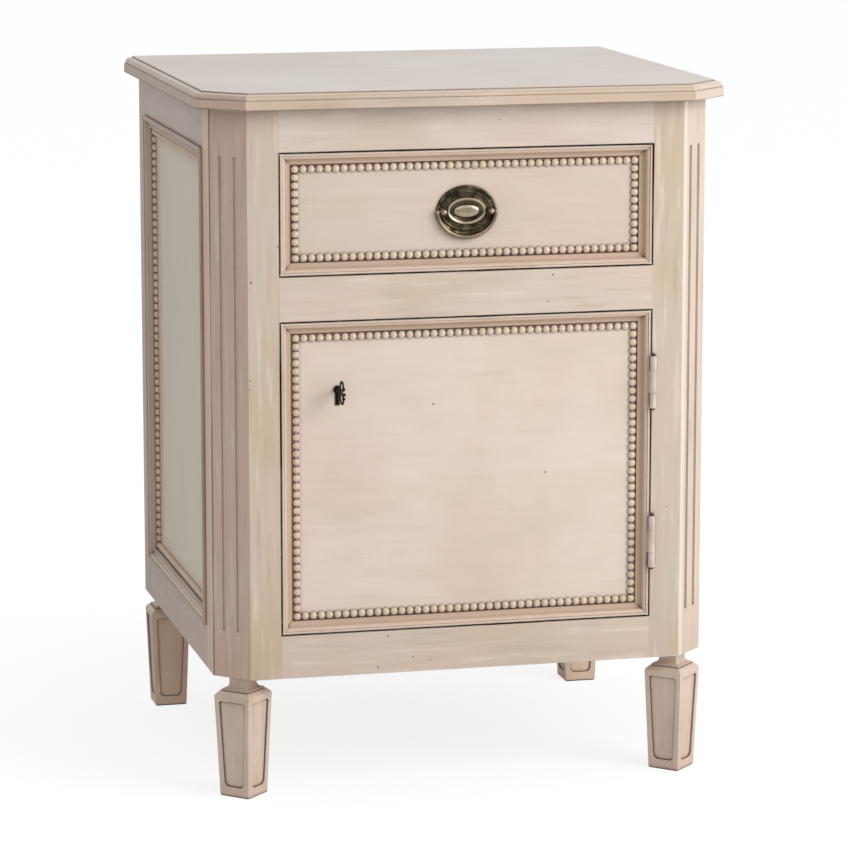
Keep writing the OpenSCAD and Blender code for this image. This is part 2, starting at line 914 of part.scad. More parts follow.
// a raised oval band of the plate: outer half sizes, width and height above the plate
module oval_band(a, b, w, h) {
  linear_extrude(plate_t + h) difference() {
    oval(a, b);
    oval(a - w, b - w);
  }
}

module pull_plate() {
  color(old_brass) on_pull() difference() {
    union() {
      linear_extrude(plate_t) oval(plate_w/2, plate_h/2);
      oval_band(plate_w/2 - rim_d/3, plate_h/2 - rim_d/3, rim_d, rim_d/3);
      oval_band(ring_w/2, ring_h/2, ring_d, ring_d/4);
      oval_band(ring_w/2 - ring_d/4, ring_h/2 - ring_d/4, ring_d/2, ring_d/2);
      linear_extrude(plate_t + boss_t/2) oval(boss_w/2, boss_h/2);
      linear_extrude(plate_t + boss_t) oval(boss_w/2 - 1, boss_h/2 - 1);
    }
    for (side = [-1, 1]) translate([side*post_gap/2, 0, -over])
      cylinder(d = screw_shank_d, h = plate_t + 2*over);
  }
}

module pull_posts() {
  color(old_brass) on_pull() for (side = [-1, 1]) translate([side*post_gap/2, 0, 0]) difference() {
    union() {
      translate([0, 0, -board_t - nut_t - 1]) cylinder(d = screw_shank_d, h = board_t + nut_t + 1 + plate_t);
      translate([0, 0, plate_t]) cylinder(d = post_d, h = post_l);
      translate([0, 0, plate_t + post_l]) sphere(d = post_d);
    }
    translate([side > 0 ? -over : -post_d, 0, bail_out]) rotate([0, 90, 0])
      cylinder(r = bail_pin_d/2 + run_fit, h = post_d + over);
  }
}

module pull_nuts() {
  color(old_brass) on_pull() for (side = [-1, 1])
    translate([side*post_gap/2, 0, -board_t - nut_t]) difference() {
      cylinder(d = nut_d, h = nut_t, $fn = 6);
      translate([0, 0, -over]) cylinder(d = screw_shank_d, h = nut_t + 2*over);
    }
}

module pull_bail() {
  color(old_brass) on_pull() translate([0, 0, bail_out]) {
    half_band(bail_half, bail_drop, bail_d, -bail_d/4, bail_d/4);
    half_band(bail_half, bail_drop, 0.8*bail_d, -0.4*bail_d, 0.4*bail_d);
    half_band(bail_half, bail_drop, bail_d/2, -bail_d/2, bail_d/2);
    for (side = [-1, 1]) {
      translate([side*bail_half - bail_d/2, 0, 0]) rotate([0, 90, 0])
        cylinder(d = bail_d + 0.4, h = bail_d);
      translate([side > 0 ? post_gap/2 : -bail_half, 0, 0]) rotate([0, 90, 0])
        cylinder(d = bail_pin_d, h = bail_half - post_gap/2);
    }
  }
}

// ---- door ----

module door_board() {
  color(paint) difference() {
    box([-drawer_x, board_y, door_z0 + reveal], [drawer_x, behind_y, door_z1 - reveal]);
    keyhole(board_y - over, behind_y + over, key_slot);
    for (z = hinge_zs) door_leaf_plate(z);
    for (z = hinge_zs) hinge_screw_row(z, -1);
    lock_screw_set();
  }
}

module door_moulding() {
  color(paint) difference() {
    on_front(door_z0) mould_frame(front_w, door_h, panel_recess, mould_fillet, mould_lip);
    for (z = hinge_zs) door_leaf_plate(z);
  }
}

module door_beads() {
  color(paint) on_front(door_z0) bead_frame(front_w, door_h);
}

// ---- hinges ----

// the plate of the leaf in the post, with its edge at the barrel's axis
module frame_leaf_plate(z) {
  box([open_x, hinge_y, z - hinge_l/2], [open_x + leaf_t, face_y + leaf_w, z + hinge_l/2]);
}

// the plate of the leaf in the door
module door_leaf_plate(z) {
  box([drawer_x - leaf_t, hinge_y, z - hinge_l/2], [drawer_x, face_y + leaf_w, z + hinge_l/2]);
}

module barrel_part(z0, z1) {
  translate([hinge_x, hinge_y, z0]) cylinder(d = barrel_d, h = z1 - z0);
}

// the room before the face that a leaf leaves to the other leaf's knuckles
module knuckle_room(z0, z1) {
  box([open_x - barrel_d, hinge_y - barrel_d, z0], [open_x + barrel_d, face_y, z1]);
}

// three screws of a leaf: side 1 goes into the post, side -1 into the door
module hinge_screw_row(z, side) {
  x0 = side > 0 ? open_x : drawer_x;
  for (up = [-1, 0, 1])
    translate([x0, face_y + (panel_recess + leaf_w)/2, z + up*hinge_l/3]) rotate([0, side*90, 0]) {
      cylinder(d = hinge_screw_d, h = hinge_screw_l);
      cylinder(d1 = 1.8*hinge_screw_d, d2 = hinge_screw_d, h = leaf_t);
    }
}

module hinge_frame_leaves() {
  color(paint) for (z = hinge_zs) difference() {
    union() {
      frame_leaf_plate(z);
      barrel_part(z - hinge_l/2, z - knuckle_mid/2);
      barrel_part(z + knuckle_mid/2, z + hinge_l/2);
    }
    knuckle_room(z - knuckle_mid/2, z + knuckle_mid/2);
    hinge_screw_row(z, 1);
    translate([hinge_x, hinge_y, z - hinge_l]) cylinder(d = hinge_pin_d, h = 2*hinge_l);
  }
}

module hinge_door_leaves() {
  color(paint) for (z = hinge_zs) difference() {
    union() {
      door_leaf_plate(z);
      barrel_part(z - knuckle_mid/2 + knuckle_play, z + knuckle_mid/2 - knuckle_play);
    }
    knuckle_room(z - hinge_l/2 - over, z - knuckle_mid/2 + knuckle_play);
    knuckle_room(z + knuckle_mid/2 - knuckle_play, z + hinge_l/2 + over);
    hinge_screw_row(z, -1);
    translate([hinge_x, hinge_y, z - hinge_l]) cylinder(r = hinge_pin_d/2 + run_fit, h = 2*hinge_l);
  }
}

module hinge_pins() {
  color(paint) for (z = hinge_zs) {
    translate([hinge_x, hinge_y, z - hinge_l/2 - over]) cylinder(d = hinge_pin_d, h = hinge_l + 2*over);
    for (up = [-1, 1]) translate([hinge_x, hinge_y, z + up*hinge_l/2]) intersection() {
      sphere(d = tip_d);
      translate([-tip_d, -tip_d, up > 0 ? 0 : -tip_h]) cube([2*tip_d, 2*tip_d, tip_h]);
    }
  }
}

module hinge_frame_screws() {
  color(dark_iron) for (z = hinge_zs) hinge_screw_row(z, 1);
}

module hinge_door_screws() {
  color(dark_iron) for (z = hinge_zs) hinge_screw_row(z, -1);
}

// ---- lock and key ----

// the hole for the shaft and the slot for the bit, between two depths
module keyhole(y0, y1, reach) {
  translate([key_x, y1, key_z]) rotate([90, 0, 0])
    cylinder(r = key_shaft_d/2 + run_fit, h = y1 - y0);
  box([key_x - slot_w/2, y0, key_z - reach], [key_x + slot_w/2, y1, key_z]);
}

// a keyhole shape round a shaft hole of radius r, with a slot of width w
module keyhole_plate(r, w, reach, t) {
  translate([key_x, board_y, key_z]) rotate([90, 0, 0]) linear_extrude(t) {
    circle(r = r);
    translate([-w/2, -reach]) square([w, reach]);
  }
}

// thin rim on the door's panel round the keyhole
module escutcheon() {
  hole_r = key_shaft_d/2 + slot_w/5;
  color(dark_iron) difference() {
    keyhole_plate(hole_r + escutcheon_rim, slot_w + 2*escutcheon_rim, key_slot + escutcheon_rim, escutcheon_t);
    translate([0, over, 0]) keyhole_plate(hole_r, slot_w, key_slot, escutcheon_t + 2*over);
  }
}

// the bolt's bar, with room round it
module bolt_bar(x0, x1, play) {
  y0 = lock_y0 + lock_d/2 - bolt_t/2;
  box([x0, y0 - play, bolt_z - bolt_h/2 - play], [x1, y0 + bolt_t + play, bolt_z + bolt_h/2 + play]);
}

// screws in the lock's plate, three under its case and one beside it, into the door
module lock_screw_set() {
  in = lock_rim/2;
  low = key_z - lock_h/2 + in;
  for (at = [[lock_x0 + in, low], [(lock_x0 + lock_x1)/2, low], [lock_x1 - in, low],
             [lock_x1 - in, key_z + lock_h/2 - in]])
    translate([at[0], lock_y0 + lock_t, at[1]]) rotate([90, 0, 0]) {
      cylinder(d = lock_screw_d, h = lock_screw_l);
      cylinder(d = 2*lock_screw_d, h = lock_t/2);
    }
}

module lock_case() {
  z0 = key_z - lock_h/2 + lock_rim;
  z1 = key_z + lock_h/2 - lock_cheek;
  color(dark_iron) difference() {
    union() {
      box([lock_x0, lock_y0, key_z - lock_h/2], [lock_x1, lock_y0 + lock_t, key_z + lock_h/2]);
      box([lock_x0, lock_y0, z0], [lock_x1 - lock_rim, lock_y0 + lock_d, z1]);
    }
    box([lock_x0 + lock_t, lock_y0 + lock_t, z0 + lock_t],
        [lock_x1 - lock_rim - lock_t, lock_y0 + lock_d - lock_t, z1 - lock_t]);
    bolt_bar(lock_x0 - over, lock_x0 + 2*lock_t, bolt_play);
    keyhole(lock_y0 - over, lock_y0 + lock_t + over, key_bit + 0.5);
    lock_screw_set();
  }
}

module lock_screws() {
  color(dark_iron) lock_screw_set();
}

module lock_bolt() {
  x0 = lock_x0 + bolt_inset;
  color(dark_iron) bolt_bar(x0, x0 + bolt_l, 0);
}

// outline of the bow: three open rings on a curled base, X towards the bow's end, Y up
module bow_outline() {
  r = key_bow_h/4;
  difference() {
    union() {
      for (side = [-1, 1]) translate([r + 1, side*r]) circle(r = r);
      translate([2*r + 3, 0]) circle(r = r);
      translate([0, -3]) square([r + 2, 6]);
      for (side = [-1, 1]) translate([2*r + 1.5, side*(r + 2.5)]) circle(r = 2);
      translate([3*r + 3.5, 0]) circle(r = 2);
    }
    for (side = [-1, 1]) translate([r + 1, side*r]) circle(r = r - 2.4);
    translate([2*r + 3, 0]) circle(r = r - 2.8);
  }
}

module key() {
  bow_l = 3*key_bow_h/4 + 5.5;
  y0 = face_y - key_out;
  y1 = lock_y0 + lock_d - lock_t - 1;
  color(dark_iron) {
    translate([key_x - key_bow_t/2, y0 + bow_l, key_z]) rotate([90, 0, 90])
      linear_extrude(key_bow_t) mirror([1, 0]) bow_outline();
    translate([key_x, y1, key_z]) rotate([90, 0, 0]) cylinder(d = key_shaft_d, h = y1 - y0 - bow_l + 2);
    for (y = [y0 + bow_l + 2, y0 + bow_l + 5]) translate([key_x, y, key_z]) rotate([90, 0, 0])
      cylinder(d = key_shaft_d + 2, h = 1.6);
    box([key_x - bit_t/2, y1 - bit_w, key_z - key_bit], [key_x + bit_t/2, y1, key_z]);
  }
}

top_slab();
front_left_post();
front_right_post();
back_left_post();
back_right_post();
front_top_rail();
front_middle_rail();
front_bottom_rail();
left_top_rail();
left_bottom_rail();
right_top_rail();
right_bottom_rail();
back_top_rail();
back_middle_rail();
back_bottom_rail();
left_panel();
right_panel();
left_moulding();
right_moulding();
left_beads();
right_beads();
back_boards();
bottom_board();
bottom_battens();
top_blocks();
left_runner();
right_runner();
drawer_guides();
drawer_kickers();
dust_board();
drawer_stops();
door_stops();
front_leg(-1);  // front_left_leg
front_leg(1);  // front_right_leg
back_leg(-1);  // back_left_leg
back_leg(1);  // back_right_leg
hinge_frame_leaves();
hinge_pins();
hinge_frame_screws();
drawer_front();
drawer_moulding();
drawer_beads();
drawer_left_side();
drawer_right_side();
drawer_back();
drawer_bottom();
pull_plate();
pull_posts();
pull_nuts();
pull_bail();
door_board();
door_moulding();
door_beads();
hinge_door_leaves();
hinge_door_screws();
lock_case();
lock_screws();
escutcheon();
lock_bolt();
key();
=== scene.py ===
"""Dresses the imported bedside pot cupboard: glazed paint, bare wood inside, old brass pull, dark iron key."""

import json
import math

import bpy
from mathutils import Matrix, Vector


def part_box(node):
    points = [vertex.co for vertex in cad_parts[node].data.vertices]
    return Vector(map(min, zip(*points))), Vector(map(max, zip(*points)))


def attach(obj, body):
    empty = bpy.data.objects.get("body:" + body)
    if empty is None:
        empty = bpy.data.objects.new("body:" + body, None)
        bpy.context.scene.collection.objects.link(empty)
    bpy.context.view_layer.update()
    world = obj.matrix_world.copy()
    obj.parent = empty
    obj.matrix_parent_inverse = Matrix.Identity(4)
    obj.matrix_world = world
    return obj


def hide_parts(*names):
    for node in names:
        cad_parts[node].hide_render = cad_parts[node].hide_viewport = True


MM = 0.001

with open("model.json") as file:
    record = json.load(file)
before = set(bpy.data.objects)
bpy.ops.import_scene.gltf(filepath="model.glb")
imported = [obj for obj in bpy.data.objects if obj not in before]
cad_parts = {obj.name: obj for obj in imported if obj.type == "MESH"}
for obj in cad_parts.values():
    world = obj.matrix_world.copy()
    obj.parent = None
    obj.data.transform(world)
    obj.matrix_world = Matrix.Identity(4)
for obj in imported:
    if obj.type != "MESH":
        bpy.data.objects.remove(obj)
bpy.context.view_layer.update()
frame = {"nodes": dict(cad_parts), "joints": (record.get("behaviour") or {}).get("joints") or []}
NODES = frame["nodes"]


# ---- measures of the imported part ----

FRONT_RAILS = ["front_top_rail", "front_middle_rail", "front_bottom_rail"]
BACK_RAILS = ["back_top_rail", "back_middle_rail", "back_bottom_rail"]

CASE_LOW, CASE_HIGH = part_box("front_left_post")
CASE_HALF = -CASE_LOW.x
FACE_Y = CASE_LOW.y
BACK_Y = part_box("back_left_post")[1].y
# the back of the front rails, and the inside of the side panels
BEHIND_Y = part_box("front_top_rail")[1].y
PANEL_IN = -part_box("left_panel")[1].x
# the rails end in tenons in the posts; without them they are as wide as the openings
TENON = 12 * MM
OPEN_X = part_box("front_top_rail")[1].x - TENON
GAP = OPEN_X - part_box("door_board")[1].x
# how far the cant takes off a front post, in x and in y
CANT = 34 * MM
SLAB_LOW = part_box("top_slab")[0].z

# the middle of the pull on the drawer's panel
plate_low, plate_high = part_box("pull_plate")
PULL = Vector(((plate_low.x + plate_high.x) / 2, plate_high.y, (plate_low.z + plate_high.z) / 2))


# ---- shader nodes ----

def srgb(red, green, blue):
    """A colour as it looks on a screen, 0 to 255, in the linear values that a shader takes."""
    linear = []
    for value in (red, green, blue):
        part = value / 255
        linear.append(part / 12.92 if part <= 0.04045 else ((part + 0.055) / 1.055) ** 2.4)
    return (*linear, 1.0)


def put(tree, socket, value):
    """Links a socket to a socket, or sets a plain value on it."""
    if isinstance(value, bpy.types.NodeSocket):
        tree.links.new(value, socket)
    else:
        socket.default_value = value


def node(tree, kind, sockets=None, **settings):
    """A shader node with its settings, and with its input sockets linked or set."""
    made = tree.nodes.new(kind)
    for name, value in settings.items():
        setattr(made, name, value)
    for name, value in (sockets or {}).items():
        put(tree, made.inputs[name], value)
    return made


def math_node(tree, operation, *values):
    """The result of a Math node on one, two or three values."""
    made = node(tree, "ShaderNodeMath", operation=operation)
    for socket, value in zip(made.inputs, values):
        put(tree, socket, value)
    return made.outputs[0]


def times(tree, first, *others):
    for other in others:
        first = math_node(tree, "MULTIPLY", first, other)
    return first


def minus(tree, first, second):
    return math_node(tree, "SUBTRACT", first, second)


def larger(tree, first, second):
    return math_node(tree, "MAXIMUM", first, second)


def without_sign(tree, value):
    return math_node(tree, "ABSOLUTE", value)


def above(tree, value, limit):
    """1 where a value is above a limit, and 0 elsewhere."""
    return math_node(tree, "GREATER_THAN", value, limit)


def below(tree, value, limit):
    """1 where a value is below a limit, and 0 elsewhere."""
    return math_node(tree, "LESS_THAN", value, limit)


def between(tree, value, low, high):
    return times(tree, above(tree, value, low), below(tree, value, high))


def mix(tree, share, first, second):
    """Mixes two colours; share is how much of the second one shows."""
    made = node(tree, "ShaderNodeMix", data_type="RGBA")
    # a Mix node has its sockets for colours at 6 and 7, and its result at 2
    for index, value in ((0, share), (6, first), (7, second)):
        put(tree, made.inputs[index], value)
    return made.outputs[2]


def blend_value(tree, share, first, second):
    """Mixes two numbers; share is how much of the second one counts."""
    made = node(tree, "ShaderNodeMix", data_type="FLOAT")
    for index, value in ((0, share), (2, first), (3, second)):
        put(tree, made.inputs[index], value)
    return made.outputs[0]


def spread(tree, value, low, high, to_low, to_high):
    """Maps a value from low to high onto a new range, held at its ends, with a soft start and end."""
    return node(tree, "ShaderNodeMapRange", {
        "Value": value, "From Min": low, "From Max": high, "To Min": to_low, "To Max": to_high,
    }, interpolation_type="SMOOTHSTEP").outputs[0]


def rise(tree, value, low, high, share=1.0):
    """0 where a value is low, and share of 1 where it is high."""
    return spread(tree, value, low, high, 0.0, share)


def rise_from(tree, value, low, high, share):
    """Share of 1 where a value is low, and 1 where it is high."""
    return spread(tree, value, low, high, share, 1.0)


def fall(tree, value, low, high, share=1.0):
    """Share of 1 where a value is low, and 0 where it is high."""
    return spread(tree, value, low, high, share, 0.0)


def axes(tree, kind="Object"):
    """The x, y and z of a point in metres in the frame of the part, or of its normal or direction."""
    where = node(tree, "ShaderNodeTexCoord").outputs[kind]
    return tuple(node(tree, "ShaderNodeSeparateXYZ", {"Vector": where}).outputs)


def place(tree, shift=(0, 0, 0), stretch=(1, 1, 1)):
    """Points in metres in the frame of the part, moved and stretched for a texture."""
    where = node(tree, "ShaderNodeTexCoord").outputs["Object"]
    return node(tree, "ShaderNodeMapping", {"Vector": where, "Location": shift, "Scale": stretch}).outputs[0]


def noise(tree, where, scale, detail=3.0, rough=0.5, twist=0.0):
    """Noise from 0 to 1; scale counts its patches per metre."""
    return node(tree, "ShaderNodeTexNoise", {
        "Vector": where, "Scale": scale, "Detail": detail, "Roughness": rough, "Distortion": twist,
    }).outputs[0]


def drawn_out(axis, share):
    """A stretch that draws a texture out along one axis."""
    return tuple(share if name == axis else 1.0 for name in "XYZ")


def hollow(tree, distance, inside=False, samples=6):
    """How open a point is: 1 in the open, falling to 0 deep in a crevice, or at an edge when inside."""
    made = node(tree, "ShaderNodeAmbientOcclusion", {"Distance": distance}, samples=samples, inside=inside)
    return made.outputs["AO"]


def emptied(owner):
    """The node tree of a new material or world, with nothing in it."""
    owner.use_nodes = True
    owner.node_tree.nodes.clear()
    return owner.node_tree


def new_material(name):
    """A material with an empty tree and its principled shader."""
    material = bpy.data.materials.new(name)
    tree = emptied(material)
    shader = node(tree, "ShaderNodeBsdfPrincipled")
    node(tree, "ShaderNodeOutputMaterial", {"Surface": shader.outputs[0]})
    return material, tree, shader


def add_bump(tree, shader, strength, depth, height):
    """Bump from a height that runs from about 0 to 1; gives back its node."""
    bump = node(tree, "ShaderNodeBump", {"Strength": strength, "Distance": depth, "Height": height})
    put(tree, shader.inputs["Normal"], bump.outputs[0])
    return bump


# ---- places on the cupboard ----

# how near a face lies to a plane to count as lying on it
TOUCH = 0.2 * MM
# half the width of the band along a joint in which an edge isn't rubbed
JOINT = 2 * MM
# beside a gap the wood is painted dark, as shade of the gap: how far from it that starts, and how far from it
# the dark is full
LIP_START = 0.85 * MM
LIP_FULL = 0.35 * MM
# how deep from the face the painted shade on the lips reaches: full, and ended
LIP_DEPTHS = (1.5 * MM, 4 * MM)


def face_masks(tree):
    """Shares that say whether a face looks to the left, along the left or right cant, or up, for the tints
    that paint shade, light and sheen.
    """
    x, y, z = axes(tree, "Normal")
    to_left = times(tree, x, -1.0)
    ahead = rise(tree, times(tree, y, -1.0), 0.3, 0.6)
    left = times(tree, rise(tree, to_left, 0.35, 0.6), ahead)
    right = times(tree, rise(tree, x, 0.35, 0.6), ahead)
    return rise(tree, to_left, 0.86, 0.96), left, right, rise(tree, z, 0.7, 0.95)


def raw_inside(tree):
    """1 on the faces that look into the case, which were never painted."""
    x, y, z = axes(tree)
    return times(
        tree,
        below(tree, without_sign(tree, x), PANEL_IN + 2 * TOUCH),
        above(tree, y, BEHIND_Y - TOUCH),
        below(tree, y, BACK_Y + TOUCH),
        above(tree, z, CASE_LOW.z + TOUCH),
        below(tree, z, CASE_HIGH.z + TOUCH))


def at_joints(tree):
    """1 along the flush joints of the front rails and the posts, which are painted over."""
    x, _, z = axes(tree)
    share = 0.0
    for rail in FRONT_RAILS:
        low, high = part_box(rail)
        share = larger(tree, share, between(tree, z, low.z + MM, high.z - MM))
    return times(tree, share, between(tree, without_sign(tree, x), OPEN_X - JOINT, OPEN_X + JOINT))


def past_outline(tree, name, axis, weight=1.0):
    """Distance outside a solid's outline, across x (axis 0) or y (axis 1) and up; negative within it.

    A distance across counts by weight, one up counts in full.
    """
    low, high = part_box(name)
    middle = (low + high) / 2
    half = (high - low) / 2
    point = axes(tree)
    across = without_sign(tree, minus(tree, point[axis], middle[axis]))
    up = without_sign(tree, minus(tree, point[2], middle.z))
    return larger(tree, times(tree, minus(tree, across, half[axis]), weight), minus(tree, up, half.z))


def past_nearest(tree, names):
    """Distance outside the nearest of some solids, across the front; negative within their outlines."""
    nearest = past_outline(tree, names[0], 0)
    for name in names[1:]:
        nearest = math_node(tree, "MINIMUM", nearest, past_outline(tree, name, 0))
    return nearest


def lip_shade_lines(tree):
    """Share of the painted shade on the lips on both sides of the gaps round the drawer and the door."""
    y = axes(tree)[1]
    away = past_nearest(tree, ["drawer_front", "door_board"])
    return times(
        tree,
        rise(tree, away, -LIP_START, -LIP_FULL),
        fall(tree, away, GAP + LIP_FULL, GAP + LIP_START),
        fall(tree, y, FACE_Y + LIP_DEPTHS[0], FACE_Y + LIP_DEPTHS[1]))


def flute_masks(tree, openness):
    """Shares of a flute's hollow, and of the brown line along its left edge."""
    x, y, _ = axes(tree)
    normal_x, normal_y, _ = axes(tree, "Normal")
    side = math_node(tree, "SIGN", x)
    on_cant = times(
        tree,
        above(tree, without_sign(tree, x), CASE_HALF - CANT + MM),
        between(tree, y, FACE_Y + MM, FACE_Y + CANT - MM))
    inside = times(tree, on_cant, fall(tree, openness, 0.93, 0.985))
    # turned runs from -1.41 to 1.41 across a flute, by the way its surface looks; the brown starts at 0.3 on
    # the left post, so one slope is dark, and at -1.9 on the right one, so the whole flute is
    turned = math_node(tree, "ADD", normal_x, times(tree, side, normal_y))
    start = math_node(tree, "MULTIPLY_ADD", side, -1.1, -0.8)
    dark = rise(tree, turned, start, math_node(tree, "ADD", start, 0.45))
    return inside, times(tree, inside, dark)


def post_edges(tree):
    """Shares of the brown line where the left cant meets the side, and of the pale one, a painted highlight,
    at the right cant.
    """
    x, y, _ = axes(tree)
    off_left = without_sign(tree, minus(tree, y, FACE_Y + CANT))
    left = times(tree, below(tree, x, 2 * MM - CASE_HALF), fall(tree, off_left, 0.5 * MM, 1.5 * MM))
    off_right = without_sign(tree, minus(tree, x, CASE_HALF - CANT + 2.5 * MM))
    right = times(tree, below(tree, y, FACE_Y + 6 * MM), fall(tree, off_right, 1.5 * MM, 4.0 * MM))
    return left, right


def knocks(tree, marks):
    """Small dents, worm holes or nail heads: marks are x, z and radius in millimetres."""
    x, _, z = axes(tree)
    flat = node(tree, "ShaderNodeCombineXYZ", {"X": x, "Z": z}).outputs[0]
    wobble = noise(tree, place(tree), 700.0, 2.0)
    share = 0.0
    for mark_x, mark_z, radius in marks:
        middle = (mark_x * MM, 0.0, mark_z * MM)
        away = node(tree, "ShaderNodeVectorMath", {0: flat, 1: middle}, operation="DISTANCE").outputs["Value"]
        near = math_node(tree, "DIVIDE", away, radius * MM)
        near = math_node(tree, "ADD", near, spread(tree, wobble, 0.3, 0.7, -0.35, 0.35))
        share = larger(tree, share, fall(tree, near, 0.5, 1.0))
    return share


# ---- colours ----

# paint: what it is mixed from, and its tint on faces that look a certain way, which paints their light
# and shade: shade to the left and on the left cant, light on the right cant, a sheen on top
CREAM = srgb(214, 198, 182)
BLUSH = srgb(216, 190, 173)
GREIGE = srgb(199, 191, 174)
STRAW = srgb(200, 180, 150)
LEFT_SHADE_TINT = srgb(212, 196, 182)
LEFT_CANT_SHADE = srgb(214, 184, 166)
RIGHT_CANT_LIGHT = srgb(226, 207, 190)
TOP_SHEEN = srgb(234, 222, 212)
# brush marks in it
MARK_DARK = srgb(172, 144, 122)
MARK_PALE = srgb(236, 222, 208)
MARK_FINE = srgb(178, 152, 132)
# glaze, from its thinnest to its thickest, which partly paints the shade of hollows and crevices; dents;
# and near-black painted shade for the tightest gaps
TAN = srgb(205, 174, 148)
BAND = srgb(218, 181, 160)
HAZE = srgb(176, 140, 115)
UMBER = srgb(100, 68, 46)
DENT = srgb(64, 42, 30)
GAP_SHADE_BLACK = srgb(44, 20, 6)
# edges: pale where rubbed, partly a painted highlight, and brown where rubbed
PALE_WEAR_AND_LIGHT = srgb(247, 233, 217)
RUBBED = srgb(150, 116, 94)

SAP_LIGHT = srgb(196, 160, 118)
SAP_DARK = srgb(168, 128, 88)
SAP_PORE = srgb(112, 76, 46)
SAP_STAIN = srgb(150, 112, 76)
SAP_CORNER = srgb(92, 62, 38)
NAIL_HEAD = srgb(66, 48, 38)

STEEL_WORN = srgb(120, 92, 72)
STEEL_JOINT = srgb(46, 30, 20)

BRASS_DARK = srgb(46, 39, 29)
BRASS_DULL = srgb(120, 109, 86)
BRASS_RAISED = srgb(196, 180, 156)
BRASS_EDGE = srgb(226, 212, 178)
BRASS_SPECK = srgb(110, 96, 72)
BRASS_DEEP = srgb(18, 14, 9)

IRON_DARK = srgb(30, 26, 22)
IRON_LIGHT = srgb(54, 47, 38)
IRON_EDGE = srgb(112, 104, 90)
IRON_DEEP = srgb(12, 9, 7)


# ---- materials ----

def wood_colour(tree, axis):
    """Bare sawn wood: long distorted bands and fine pores along the grain."""
    bands = noise(tree, place(tree, stretch=drawn_out(axis, 0.05)), 42.0, 4.0, 0.55, 0.6)
    pores = noise(tree, place(tree, stretch=drawn_out(axis, 0.02)), 900.0, 2.0, 0.6)
    patches = noise(tree, place(tree, shift=(0.7, 0.2, 0.4)), 5.0, 2.0)
    colour = mix(tree, rise(tree, bands, 0.3, 0.7), SAP_LIGHT, SAP_DARK)
    colour = mix(tree, rise(tree, pores, 0.55, 0.8, 0.35), colour, SAP_PORE)
    return mix(tree, rise(tree, patches, 0.3, 0.8, 0.3), colour, SAP_STAIN)


def bare_wood(name, axis, nails=()):
    """Bare softwood, grained along axis, with the rusty heads of nails at the given marks."""
    material, tree, shader = new_material(name)
    colour = wood_colour(tree, axis)
    corners = fall(tree, hollow(tree, 9 * MM), 0.3, 0.85, 0.6)
    colour = mix(tree, corners, colour, SAP_CORNER)
    fibre = noise(tree, place(tree, stretch=drawn_out(axis, 0.02)), 700.0, 3.0, 0.6)
    height = fibre
    if nails:
        heads = knocks(tree, nails)
        colour = mix(tree, times(tree, heads, 0.9), colour, NAIL_HEAD)
        height = minus(tree, height, times(tree, heads, 3.0))
    put(tree, shader.inputs["Base Color"], colour)
    put(tree, shader.inputs["Roughness"], spread(tree, fibre, 0.2, 0.8, 0.62, 0.8))
    add_bump(tree, shader, 0.35, 0.3 * MM, height)
    return material


def paint_noises(tree, axis):
    """The unevenness of brushed paint, from soft clouds to single bristle marks, drawn out along axis."""
    sizes = {
        # shift, how far it is drawn out, patches per metre, detail, roughness
        "clouds": ((0.31, 0.12, 0.07), 1.0, 5.5, 4.0, 0.55),
        "drifts": ((0.9, 0.4, 0.2), 0.5, 13.0, 4.0, 0.6),
        "patches": ((0.5, 0.8, 0.35), 0.35, 16.0, 3.0, 0.5),
        "strokes": ((0.2, 0.5, 0.8), 0.09, 130.0, 3.0, 0.55),
        "bristles": ((0, 0, 0), 0.03, 520.0, 3.0, 0.6),
    }
    made = {}
    for name, (shift, share, scale, detail, rough) in sizes.items():
        made[name] = noise(tree, place(tree, shift, drawn_out(axis, share)), scale, detail, rough)
    return made


def paint_coat(tree, noises, base, left_shade_tint, mottle):
    """Paint colour with light, shade and sheen painted by the way faces look; left_shade_tint is None where
    they don't differ.
    """
    colour = mix(tree, rise(tree, noises["clouds"], 0.35, 0.68, 0.75), base, mix(tree, 0.75, base, BLUSH))
    greyer = rise(tree, noises["drifts"], 0.46, 0.72, 0.45 * mottle)
    colour = mix(tree, greyer, colour, mix(tree, 0.75, base, GREIGE))
    yellower = rise(tree, noises["patches"], 0.5, 0.7, 0.5 * mottle)
    colour = mix(tree, yellower, colour, mix(tree, 0.7, base, STRAW))
    if left_shade_tint:
        # painted light by the way a face looks: shade on faces that look left and on the left cant, light on
        # the right cant, a sheen on the top
        side, left, right, top = face_masks(tree)
        for mask, share, tint in ((side, 0.85, left_shade_tint), (left, 0.75, LEFT_CANT_SHADE),
                                  (right, 0.75, RIGHT_CANT_LIGHT), (top, 0.85, TOP_SHEEN)):
            colour = mix(tree, times(tree, mask, share), colour, tint)
    # the lowest 100 mm of the case are a little darker, and so are the legs
    low_part = fall(tree, axes(tree)[2], CASE_LOW.z, CASE_LOW.z + 100 * MM, 0.18)
    colour = mix(tree, low_part, colour, HAZE)
    colour = mix(tree, rise(tree, noises["strokes"], 0.52, 0.78, 0.2 * mottle), colour, MARK_DARK)
    colour = mix(tree, fall(tree, noises["strokes"], 0.24, 0.46, 0.28 * mottle), colour, MARK_PALE)
    return mix(tree, rise(tree, noises["bristles"], 0.55, 0.85, 0.2), colour, MARK_FINE)


